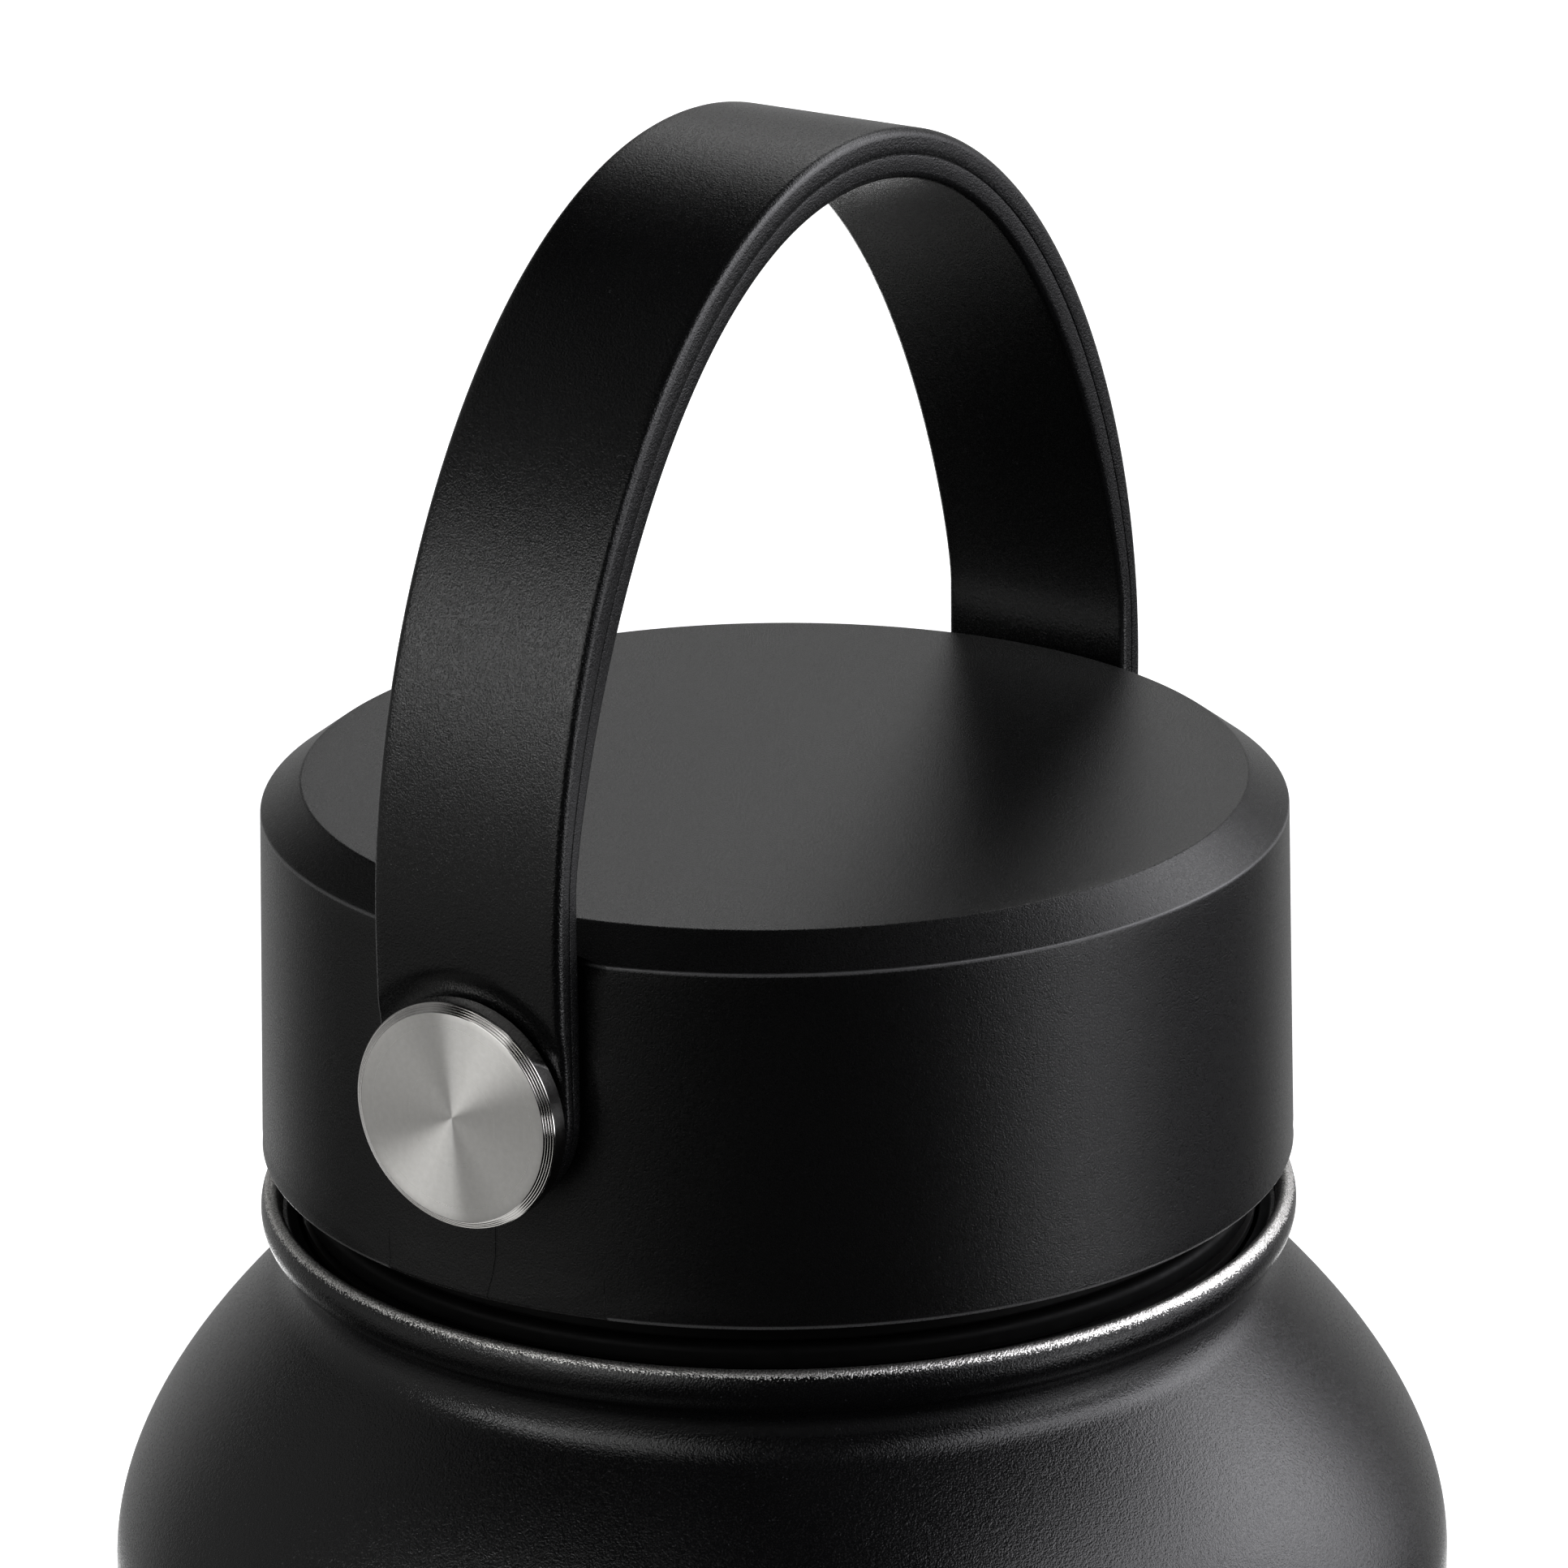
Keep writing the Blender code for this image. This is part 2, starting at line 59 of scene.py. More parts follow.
def new_object(name, me):
    ob = bpy.data.objects.new(name, me)
    bpy.context.scene.collection.objects.link(ob)
    return ob


def smooth(me, angle):
    me.shade_smooth()
    me.set_sharp_from_angle(angle=math.radians(angle))


def fillet(pts, radii, closed=False, n=6):
    """Rounds the corners of a profile.  radii: one number for each point, 0 keeps the corner."""
    out = []
    m = len(pts)
    for i, p in enumerate(pts):
        r = radii[i] if i < len(radii) else 0.0
        if r <= 0.0 or (not closed and i in (0, m - 1)):
            out.append(p)
            continue
        a, b = Vector(pts[i - 1]), Vector(pts[(i + 1) % m])
        c = Vector(p)
        da, db = (a - c), (b - c)
        la, lb = da.length, db.length
        da, db = da / la, db / lb
        half = 0.5 * da.angle(db)
        d = min(r / math.tan(half), 0.49 * la, 0.49 * lb)
        rr = d * math.tan(half)
        centre = c + (da + db).normalized() * (rr / math.sin(half))
        s, e = c + da * d, c + db * d
        vs, ve = s - centre, e - centre
        a0 = math.atan2(vs.y, vs.x)
        da_ = math.atan2(ve.y, ve.x) - a0
        while da_ > math.pi:
            da_ -= 2 * math.pi
        while da_ < -math.pi:
            da_ += 2 * math.pi
        for k in range(n + 1):
            t = a0 + da_ * k / n
            out.append((centre.x + rr * math.cos(t), centre.y + rr * math.sin(t)))
    return out


def arc(cx, cz, ra, rb, a0, a1, n):
    return [(cx + ra * math.cos(math.radians(a0 + (a1 - a0) * i / n)),
             cz + rb * math.sin(math.radians(a0 + (a1 - a0) * i / n))) for i in range(n + 1)]


def bezier(p0, p1, p2, p3, n):
    out = []
    for i in range(n + 1):
        t = i / n
        a, b, c, d = (1 - t) ** 3, 3 * (1 - t) ** 2 * t, 3 * (1 - t) * t * t, t ** 3
        out.append((a * p0[0] + b * p1[0] + c * p2[0] + d * p3[0], a * p0[1] + b * p1[1] + c * p2[1] + d * p3[1]))
    return out


def offset(pts, d):
    out = []
    for i, p in enumerate(pts):
        a, b = pts[max(i - 1, 0)], pts[min(i + 1, len(pts) - 1)]
        tx, tz = b[0] - a[0], b[1] - a[1]
        n = math.hypot(tx, tz)
        out.append((p[0] + d * tz / n, p[1] - d * tx / n))
    return out


def lathe(name, prof, seg=SEG, closed=True, angle=30.0, radius_of=None, steps=None):
    """A turned mesh about Z from (radius, height) pairs in millimetres."""
    bm = bmesh.new()
    rings = []
    for r, z in prof:
        if r < 1e-6:
            rings.append([bm.verts.new((0.0, 0.0, z * MM))])
        else:
            rings.append([bm.verts.new((r * MM * math.cos(2 * math.pi * k / seg),
                                        r * MM * math.sin(2 * math.pi * k / seg), z * MM)) for k in range(seg)])
    pairs = list(zip(rings, rings[1:]))
    if closed:
        pairs.append((rings[-1], rings[0]))
    for a, b in pairs:
        if len(a) == 1 and len(b) == 1:
            continue
        for k in range(seg):
            j = (k + 1) % seg
            if len(a) == 1:
                bm.faces.new((a[0], b[k], b[j]))
            elif len(b) == 1:
                bm.faces.new((a[j], a[k], b[0]))
            else:
                bm.faces.new((a[k], b[k], b[j], a[j]))
    bmesh.ops.recalc_face_normals(bm, faces=bm.faces)
    me = bpy.data.meshes.new(name)
    bm.to_mesh(me)
    bm.free()
    smooth(me, angle)
    return new_object(name, me)


def with_thread(ob, core_r, ridge, half, z0, pitch, turns, inward, fade=0.35):
    """Raises a helical ridge on the vertices of a turned wall that has dense rings of radius core_r."""
    for v in ob.data.vertices:
        r = math.hypot(v.co.x, v.co.y) / MM
        if abs(r - core_r) > 0.02:
            continue
        a = math.atan2(v.co.y, v.co.x) / (2 * math.pi)
        if a < 0:
            a += 1.0
        z = v.co.z / MM
        best = 0.0
        for k in range(-1, int(turns) + 2):
            t = a + k
            if t < -0.02 or t > turns + 0.02:
                continue
            dz = abs(z - (z0 + pitch * t))
            run = min(1.0, max(0.0, min(t, turns - t) / fade))
            run = run * run * (3 - 2 * run)
            f = max(0.0, min(1.0, (half - dz) / (0.42 * half)))
            f = f * f * (3 - 2 * f)
            best = max(best, f * run)
        if best > 0.0:
            rr = core_r + (-ridge if inward else ridge) * best
            v.co.x *= rr / r
            v.co.y *= rr / r
    smooth(ob.data, 50.0)
    return ob


# =====================================================================================
# node helpers
# =====================================================================================


class Graph:
    """A short way of writing a node tree."""

    def __init__(self, tree):
        self.t = tree
        self.t.nodes.clear()

    def add(self, kind, **kw):
        n = self.t.nodes.new(kind)
        for k, v in kw.items():
            setattr(n, k, v)
        return n

    def put(self, socket, value):
        if isinstance(value, bpy.types.NodeSocket):
            self.t.links.new(value, socket)
        else:
            socket.default_value = value

    def math(self, op, a, b=None, c=None, clamp=False):
        n = self.add("ShaderNodeMath", operation=op, use_clamp=clamp)
        for s, v in zip(n.inputs, (a, b, c)):
            if v is not None:
                self.put(s, v)
        return n.outputs[0]

    def vmath(self, op, a, b=None):
        n = self.add("ShaderNodeVectorMath", operation=op)
        for s, v in zip(n.inputs, (a, b)):
            if v is not None:
                self.put(s, v)
        return n.outputs["Value"] if op in ("DOT_PRODUCT", "LENGTH", "DISTANCE") else n.outputs["Vector"]

    def ramp(self, x, lo, hi, to_lo=0.0, to_hi=1.0, kind="SMOOTHSTEP"):
        n = self.add("ShaderNodeMapRange", interpolation_type=kind)
        self.put(n.inputs["Value"], x)
        self.put(n.inputs["From Min"], lo)
        self.put(n.inputs["From Max"], hi)
        self.put(n.inputs["To Min"], to_lo)
        self.put(n.inputs["To Max"], to_hi)
        return n.outputs["Result"]

    def noise(self, vec, scale, detail=2.0, rough=0.5, distortion=0.0):
        n = self.add("ShaderNodeTexNoise")
        self.put(n.inputs["Vector"], vec)
        n.inputs["Scale"].default_value = scale
        n.inputs["Detail"].default_value = detail
        n.inputs["Roughness"].default_value = rough
        n.inputs["Distortion"].default_value = distortion
        return n.outputs["Fac"]

    def voronoi(self, vec, scale, feature="F1", out="Distance", randomness=1.0):
        n = self.add("ShaderNodeTexVoronoi", feature=feature)
        self.put(n.inputs["Vector"], vec)
        n.inputs["Scale"].default_value = scale
        n.inputs["Randomness"].default_value = randomness
        return n.outputs[out]

    def mix(self, fac, a, b):
        n = self.add("ShaderNodeMix", data_type="RGBA")
        self.put(n.inputs["Factor"], fac)
        self.put(n.inputs["A"], a)
        self.put(n.inputs["B"], b)
        return n.outputs["Result"]

    def mixf(self, fac, a, b):
        n = self.add("ShaderNodeMix", data_type="FLOAT")
        self.put(n.inputs["Factor"], fac)
        self.put(n.inputs["A"], a)
        self.put(n.inputs["B"], b)
        return n.outputs["Result"]

    def sep(self, vec):
        n = self.add("ShaderNodeSeparateXYZ")
        self.put(n.inputs[0], vec)
        return n.outputs

    def comb(self, x, y, z):
        n = self.add("ShaderNodeCombineXYZ")
        for s, v in zip(n.inputs, (x, y, z)):
            self.put(s, v)
        return n.outputs[0]

    def bump(self, height, distance, strength=1.0, normal=None):
        n = self.add("ShaderNodeBump")
        self.put(n.inputs["Height"], height)
        n.inputs["Distance"].default_value = distance
        n.inputs["Strength"].default_value = strength
        if normal is not None:
            self.put(n.inputs["Normal"], normal)
        return n.outputs["Normal"]


def rgb(r, g=None, b=None):
    if g is None:
        g = b = r
    return (r, g, b, 1.0)


def material(name, colour, rough, metal=0.0, ior=1.5, spec=0.5):
    m = bpy.data.materials.new(name)
    m.use_nodes = True
    g = Graph(m.node_tree)
    out = g.add("ShaderNodeOutputMaterial")
    b = g.add("ShaderNodeBsdfPrincipled")
    g.t.links.new(b.outputs[0], out.inputs["Surface"])
    b.inputs["Base Color"].default_value = colour
    b.inputs["Roughness"].default_value = rough
    b.inputs["Metallic"].default_value = metal
    b.inputs["IOR"].default_value = ior
    b.inputs["Specular IOR Level"].default_value = spec
    m.diffuse_color = colour
    return m, g, b


def obj_coords(g):
    return g.add("ShaderNodeTexCoord").outputs["Object"]


def dress(ob, m):
    ob.data.materials.clear()
    ob.data.materials.append(m)
    for p in ob.data.polygons:
        p.material_index = 0
    return ob


# =====================================================================================
# materials
# =====================================================================================


def powder_coat():
    """Black powder coat: orange peel, fine glitter, dusty mottling, pale specks that are painted glints, and bare steel
    along the lip's upper edge, flecked with painted glints and widened on the lit side as a painted highlight.
    """
    m, g, b = material("powder_coat_black", rgb(0.0085, 0.0085, 0.009), 0.40, ior=1.5)
    co = obj_coords(g)
    x, y, z = g.sep(co)
    fine = g.noise(co, 8200.0, 1.5, 0.55)
    mid = g.noise(co, 3600.0, 1.0, 0.5)
    cloud = g.noise(co, 42.0, 3.0, 0.55)
    # colour: slow mottling, and pin-point pale specks painted as glints that stand in for sparkle highlights
    glint_cells = g.ramp(g.voronoi(co, 3000.0), 0.20, 0.08)
    pick = g.ramp(g.noise(co, 1300.0, 1.0), 0.56, 0.64)
    painted_glints = g.math("MULTIPLY", glint_cells, pick)
    base = g.mix(g.ramp(cloud, 0.3, 0.7), rgb(0.0034, 0.0034, 0.0037), rgb(0.0058, 0.0058, 0.0062))
    base = g.mix(painted_glints, base, rgb(0.045, 0.046, 0.050))
    # the lip's upper edge is bare, rubbed steel, with a grainy boundary
    r = g.math("SQRT", g.math("ADD", g.math("MULTIPLY", x, x), g.math("MULTIPLY", y, y)))
    up = g.math("DIVIDE", g.math("SUBTRACT", z, (H - 30.0) * MM), 1.40 * MM)
    out = g.math("DIVIDE", g.math("SUBTRACT", r, 34.03 * MM), 0.70 * MM)
    turn = g.math("ARCTAN2", up, out)                                  # 0 outwards, 90 degrees at the top
    turn = g.math("ADD", turn, g.math("MULTIPLY", g.math("SUBTRACT", fine, 0.5), 0.9))
    side = g.math("DIVIDE", g.vmath("DOT_PRODUCT", co, (0.538, -0.843, 0.0)), r)
    turn = g.math("ADD", turn, g.ramp(side, 0.25, 0.9, 0.0, 0.16))       # bare band widened on the camera's lit right side: a painted highlight
    bare = g.ramp(turn, math.radians(46.0), math.radians(54.0), kind="LINEAR")
    bare = g.math("MULTIPLY", bare, g.ramp(z, (H - 30.6) * MM, (H - 30.2) * MM, kind="LINEAR"))
    bare = g.math("MULTIPLY", bare, g.ramp(r, 0.0327, 0.0330, kind="LINEAR"))
    # the bare steel's colour flecks up to near white: real bare steel with painted glints
    steel_and_glints = g.mix(g.ramp(fine, 0.38, 0.60), rgb(0.42, 0.41, 0.39), rgb(0.98, 0.965, 0.94))
    g.put(b.inputs["Base Color"], g.mix(bare, base, steel_and_glints))
    g.put(b.inputs["Metallic"], bare)
    rough = g.math("ADD", g.ramp(fine, 0.3, 0.7, 0.16, 0.31), g.math("MULTIPLY", g.math("SUBTRACT", cloud, 0.5), 0.05))
    inner = g.math("MULTIPLY", g.ramp(r, 0.0331, 0.0329), g.ramp(z, (H - 36.0) * MM, (H - 34.0) * MM))
    rough = g.mixf(inner, rough, 0.8)                                  # no sheen inside the mouth
    g.put(b.inputs["Roughness"], g.mixf(bare, rough, 0.38))
    peel = g.math("ADD", g.math("MULTIPLY", fine, 0.7), g.math("MULTIPLY", mid, 0.4))
    peel = g.math("MULTIPLY", peel, g.mixf(bare, 1.0, 1.5))
    g.put(b.inputs["Normal"], g.bump(peel, 0.000046, 1.0))
    return m


def lid_plastic():
    """Matt black moulding with a fine spark-eroded grain, a hair-thin parting line at each side, and painted highlight
    lines along two edges.
    """
    m, g, b = material("lid_plastic_black", rgb(0.008, 0.008, 0.008), 0.45, ior=1.5)
    co = obj_coords(g)
    x, y, z = g.sep(co)
    fine = g.noise(co, 9500.0, 1.5, 0.6)
    mid = g.noise(co, 4200.0, 1.0, 0.5)
    cloud = g.noise(co, 30.0, 3.0, 0.5)
    line = g.ramp(g.math("ABSOLUTE", y), 0.00009, 0.00003)
    line = g.math("MULTIPLY", line, g.ramp(z, (H - 3.0) * MM, (H - 3.4) * MM))
    slide = g.ramp(g.math("ABSOLUTE", g.math("SUBTRACT", g.math("ABSOLUTE", y), 0.0083)), 0.00007, 0.00002)
    slide = g.math("MULTIPLY", slide, g.ramp(z, (H - 22.6) * MM, (H - 24.4) * MM))
    line = g.math("MAXIMUM", line, slide)
    base = g.mix(g.ramp(cloud, 0.3, 0.7), rgb(0.0028), rgb(0.0046, 0.0046, 0.0047))
    r = g.math("SQRT", g.math("ADD", g.math("MULTIPLY", x, x), g.math("MULTIPLY", y, y)))
    zn = g.math("ADD", z, g.math("MULTIPLY", g.math("SUBTRACT", fine, 0.5), 0.00012))
    # painted highlights: pale lines along the foot's edge outside the flats and along the chamfer's lower rim stand in
    # for edge glints
    foot = g.math("MULTIPLY", g.ramp(zn, (H - 25.40) * MM, (H - 25.56) * MM), g.ramp(g.math("ABSOLUTE", y), 0.0083, 0.0085))
    foot = g.math("MULTIPLY", foot, g.ramp(r, 0.0336, 0.0340))
    rim = g.math("MULTIPLY", g.ramp(g.math("ABSOLUTE", g.math("SUBTRACT", zn, (H - 2.06) * MM)), 0.00016, 0.00004),
                 g.ramp(r, 0.0335, 0.0338))
    painted_edge_glint = g.math("MAXIMUM", foot, g.math("MULTIPLY", rim, 0.7))
    base = g.mix(painted_edge_glint, base, rgb(0.13, 0.13, 0.132))
    g.put(b.inputs["Base Color"], g.mix(line, base, rgb(0.001)))
    rough = g.math("ADD", g.ramp(fine, 0.3, 0.7, 0.25, 0.34), g.math("MULTIPLY", g.math("SUBTRACT", cloud, 0.5), 0.05))
    g.put(b.inputs["Roughness"], rough)
    grain = g.math("ADD", g.math("MULTIPLY", fine, 0.7), g.math("MULTIPLY", mid, 0.25))
    grain = g.math("SUBTRACT", grain, g.math("MULTIPLY", line, 1.2))
    g.put(b.inputs["Normal"], g.bump(grain, 0.000036, 1.0))
    return m


def strap_rubber():
    """Soft black elastomer with a grain that glitters a little, and a bloom of fine dust."""
    m, g, b = material("strap_elastomer_black", rgb(0.009, 0.009, 0.0095), 0.5, ior=1.5)
    co = obj_coords(g)
    fine = g.noise(co, 8800.0, 1.5, 0.6)
    mid = g.noise(co, 4000.0, 1.0, 0.5)
    cloud = g.noise(co, 55.0, 4.0, 0.6)
    dust = g.math("MULTIPLY", g.ramp(g.voronoi(co, 2800.0), 0.18, 0.07), g.ramp(g.noise(co, 1100.0, 1.0), 0.58, 0.66))
    base = g.mix(g.ramp(cloud, 0.3, 0.7), rgb(0.0036, 0.0037, 0.0039), rgb(0.0062, 0.0064, 0.0066))
    g.put(b.inputs["Base Color"], g.mix(dust, base, rgb(0.05, 0.051, 0.053)))
    g.put(b.inputs["Roughness"], g.ramp(fine, 0.25, 0.75, 0.19, 0.31))
    grain = g.math("ADD", g.math("MULTIPLY", fine, 0.7), g.math("MULTIPLY", mid, 0.3))
    g.put(b.inputs["Normal"], g.bump(grain, 0.000042, 1.0))
    return m


def spun_steel(name="stainless_spun", base=0.60):
    """Steel faced on a lathe: fine circular tool marks about the piece's own Z axis, so the sheen fans out."""
    m, g, b = material(name, rgb(base, base * 0.99, base * 0.965), 0.30, 1.0)
    co = obj_coords(g)
    x, y, z = g.sep(co)
    r = g.math("SQRT", g.math("ADD", g.math("MULTIPLY", x, x), g.math("MULTIPLY", y, y)))
    rings = g.noise(g.comb(r, 0.0, 0.0), 9000.0, 3.0, 0.7)
    wide = g.noise(g.comb(r, 0.3, 0.0), 900.0, 2.0, 0.5)
    grain = g.noise(co, 2600.0, 3.0, 0.6)
    tangent = g.add("ShaderNodeTangent", direction_type="RADIAL", axis="Z")
    g.put(b.inputs["Tangent"], tangent.outputs[0])
    b.inputs["Anisotropic"].default_value = 1.0
    b.inputs["Anisotropic Rotation"].default_value = 0.25          # highlights spread across the tool marks
    tone = g.math("ADD", g.math("MULTIPLY", rings, 0.06), g.math("MULTIPLY", grain, 0.14))
    g.put(b.inputs["Base Color"], g.mix(g.ramp(tone, 0.05, 0.16), rgb(base * 0.93, base * 0.92, base * 0.895),
                                        rgb(base * 1.05, base * 1.04, base * 1.015)))
    g.put(b.inputs["Roughness"], g.ramp(g.math("ADD", rings, g.math("MULTIPLY", wide, 0.05)), 0.3, 0.8, 0.272, 0.292))
    g.put(b.inputs["Normal"], g.bump(g.math("ADD", rings, g.math("MULTIPLY", grain, 0.25)), 0.0000006, 0.4))
    return m


def turned_steel():
    """Bright turned rim of a pin's head."""
    m, g, b = material("stainless_turned", rgb(0.62, 0.61, 0.59), 0.12, 1.0)
    co = obj_coords(g)
    x, y, z = g.sep(co)
    r = g.math("SQRT", g.math("ADD", g.math("MULTIPLY", x, x), g.math("MULTIPLY", y, y)))
    along = g.math("SUBTRACT", z, r)
    rings = g.noise(g.comb(along, 0.0, 0.0), 14000.0, 2.0, 0.6)
    grain = g.noise(co, 3000.0, 2.0, 0.5)
    g.put(b.inputs["Roughness"], g.ramp(grain, 0.3, 0.7, 0.10, 0.14))
    g.put(b.inputs["Base Color"], g.mix(rings, rgb(0.52, 0.51, 0.50), rgb(0.68, 0.67, 0.65)))
    g.put(b.inputs["Normal"], g.bump(rings, 0.000003, 0.6))
    return m


def brushed_steel(name, direction, base=0.56, rough=(0.26, 0.40)):
    """Drawn or brushed steel.  direction: 'round' for marks around Z, 'along' for marks along Z."""
    m, g, b = material(name, rgb(base, base * 0.99, base * 0.97), 0.32, 1.0)
    co = obj_coords(g)
    x, y, z = g.sep(co)
    a = g.math("ARCTAN2", y, x)
    r = g.math("SQRT", g.math("ADD", g.math("MULTIPLY", x, x), g.math("MULTIPLY", y, y)))
    if direction == "round":
        v = g.comb(g.math("MULTIPLY", z, 5200.0), g.math("MULTIPLY", r, 5200.0), g.math("MULTIPLY", a, 3.0))
    else:
        v = g.comb(g.math("MULTIPLY", a, 240.0), g.math("MULTIPLY", r, 300.0), g.math("MULTIPLY", z, 60.0))
    marks = g.noise(v, 1.0, 3.0, 0.65)
    cloud = g.noise(co, 45.0, 3.0, 0.5)
    g.put(b.inputs["Base Color"], g.mix(marks, rgb(base * 0.86, base * 0.85, base * 0.835), rgb(base * 1.08, base * 1.07, base * 1.05)))
    g.put(b.inputs["Roughness"], g.math("ADD", g.ramp(marks, 0.25, 0.75, rough[0], rough[1]),
                                       g.math("MULTIPLY", g.math("SUBTRACT", cloud, 0.5), 0.08)))
    g.put(b.inputs["Normal"], g.bump(marks, 0.000012, 0.5))
    return m


def gloss_plastic():
    m, g, b = material("plug_plastic_black", rgb(0.003), 0.3, ior=1.45, spec=0.2)
    co = obj_coords(g)
    n = g.noise(co, 900.0, 3.0, 0.6)
    cloud = g.noise(co, 60.0, 2.0)
    g.put(b.inputs["Base Color"], g.mix(cloud, rgb(0.0022), rgb(0.0042)))
    g.put(b.inputs["Roughness"], g.ramp(n, 0.3, 0.7, 0.30, 0.42))
    g.put(b.inputs["Normal"], g.bump(n, 0.000012, 0.4))
    return m


def silicone():
    m, g, b = material("gasket_silicone_black", rgb(0.003), 0.55, ior=1.41, spec=0.12)
    co = obj_coords(g)
    n = g.noise(co, 1400.0, 2.0, 0.6)
    g.put(b.inputs["Base Color"], g.mix(n, rgb(0.002), rgb(0.005)))
    g.put(b.inputs["Roughness"], g.ramp(n, 0.3, 0.7, 0.48, 0.62))
    g.put(b.inputs["Normal"], g.bump(n, 0.000015, 0.4))
    return m


def plain(name, c0, c1, scale, rough, metal=0.0, bump=0.00003):
    """A simple mottled surface, for the small pieces inside."""
    m, g, b = material(name, c0, rough[0], metal)
    co = obj_coords(g)
    n = g.noise(co, scale, 3.0, 0.6)
    g.put(b.inputs["Base Color"], g.mix(n, c0, c1))
    g.put(b.inputs["Roughness"], g.ramp(n, 0.3, 0.7, rough[0], rough[1]))
    g.put(b.inputs["Normal"], g.bump(n, bump, 0.6))
    return m


# =====================================================================================
# bottle
# =====================================================================================

COAT = powder_coat()
CAPM = lid_plastic()
RUBBER = strap_rubber()
SPUN = spun_steel()
RIM = turned_steel()
DRAWN = brushed_steel("stainless_drawn", "round")
BASE_STEEL = spun_steel("stainless_base", 0.55)
GLOSS = gloss_plastic()
SEAL = silicone()
FOAM = plain("foam_white", rgb(0.80, 0.79, 0.75), rgb(0.88, 0.87, 0.84), 1800.0, (0.8, 0.95), bump=0.0002)
ACETAL = plain("acetal_white", rgb(0.74, 0.74, 0.72), rgb(0.82, 0.82, 0.80), 900.0, (0.38, 0.5))
BRASS = plain("brass_turned", rgb(0.66, 0.47, 0.20), rgb(0.76, 0.56, 0.26), 1500.0, (0.22, 0.34), 1.0)
GETTER = plain("getter_grey", rgb(0.22, 0.22, 0.23), rgb(0.36, 0.36, 0.37), 2500.0, (0.5, 0.7), 1.0, 0.0001)
SOLDER = plain("solder_glass", rgb(0.07, 0.08, 0.09), rgb(0.13, 0.14, 0.15), 1200.0, (0.15, 0.3))

_a = math.radians(44.0)
SHOULDER_KEYS = ((34.0, H - 35.46), (34.0 + 5.54 * math.cos(_a), H - 35.46 - 5.54 * math.sin(_a)),
                 (45.23, H - 55.08 + 8.15), (45.23, H - 55.08))


def bottle_body():
    """Outer wall: rolled lip, groove, soft ridge, domed shoulder, straight wall, rounded foot."""
    lip = arc(34.03, H - 30.0, 0.70, 1.40, 180, -66, 40)
    groove = bezier(lip[-1], (33.96, H - 31.75), (33.05, H - 31.5), (33.02, H - 33.0), 12)[1:]
    ridge = bezier((33.02, H - 33.0), (33.02, H - 34.0), (33.25, H - 34.70), SHOULDER_KEYS[0], 14)[1:]
    dome = bezier(*SHOULDER_KEYS, 48)[1:]
    wall = [(45.23, z) for z in (172.0, 160.0, 145.0, 130.0, 110.0, 90.0, 70.0, 50.0, 30.0, 15.0, 8.0)]
    foot = arc(40.23, 5.0, 5.0, 5.0, 0, -78, 16)
    rim = fillet([foot[-1], (40.7, 0.03), (38.4, 0.0), (37.6, 0.9), (37.6, 2.6)], (0, 0.35, 0.35, 0.3, 0), n=5)[1:]
    skin = lip + groove + ridge + dome + wall + foot
    back = [(38.2, 2.6), (38.2, 1.2), (38.7, 0.7), (41.0, 0.75)]
    inner = arc(40.23, 5.0, 4.4, 4.4, -78, 0, 8) + [(44.63, 90.0)] + list(reversed(offset(bezier(*SHOULDER_KEYS, 16), 0.6)))
    inner += [(33.0, H - 34.6), (32.42, H - 33.4), (32.32, H - 31.75), (32.3, H - 30.35), (32.4, H - 30.25)]
    profile = [(33.1, H - 30.22), (33.27, H - 30.15)] + skin + rim + back + inner
    ob = lathe("bottle_body", profile, SEG, True, 40.0)
    dress(ob, COAT)
    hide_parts("outer_shell")
    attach(ob, "bottle")
    return ob


def bottle_liner():
    """Inner wall with the mouth's thread."""
    keys = SHOULDER_KEYS
    dome = [p for p in offset(bezier(*keys, 30), 45.23 - 41.4) if p[0] > 31.7]
    z_n = dome[0][1]
    out = [(32.0, H - 29.9), (32.0, H - 30.4), (31.2, H - 30.5), (30.5, H - 31.3), (30.5, z_n + 2.6), (31.0, z_n + 0.9)]
    out += dome + [(41.4, 60.0), (41.4, 12.0)]
    inn = [(40.9, 12.0), (40.9, 60.0)]
    inn += list(reversed(offset(dome, 0.5)))
    z_top, z_low = H - 31.2, z_n + 2.2
    n = 64
    wall = [(30.0, z_low + (z_top - z_low) * i / n) for i in range(n + 1)]
    inn += [(30.35, z_n + 0.95)] + wall + [(30.12, H - 30.9), (30.4, H - 30.5), (30.85, H - 30.0), (31.1, H - 29.9)]
    ob = lathe("bottle_liner", out + inn, SEG, True, 40.0)
    with_thread(ob, 30.0, 0.9, 1.05, H - 41.0, 4.0, 1.75, True)
    dress(ob, DRAWN)
    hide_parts("inner_wall")
    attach(ob, "bottle")
    return ob


def liner_floor():
    r, z = 40.6, 12.0
    under = [(r, z + 3.7)] + arc(r - 3.0, z + 2.9, 3.0, 3.0, 0, -80, 12) + [(20.0, z), (0.0, z + 0.6)]
    over = [(0.0, z + 1.1), (20.0, z + 0.5)] + arc(r - 3.0, z + 2.9, 2.5, 2.5, -80, 0, 12) + [(r - 0.5, z + 3.7)]
    ob = lathe("liner_floor", over + under, 192, False, 40.0)
    dress(ob, BASE_STEEL)
    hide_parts("inner_bottom")
    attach(ob, "bottle")
    return ob


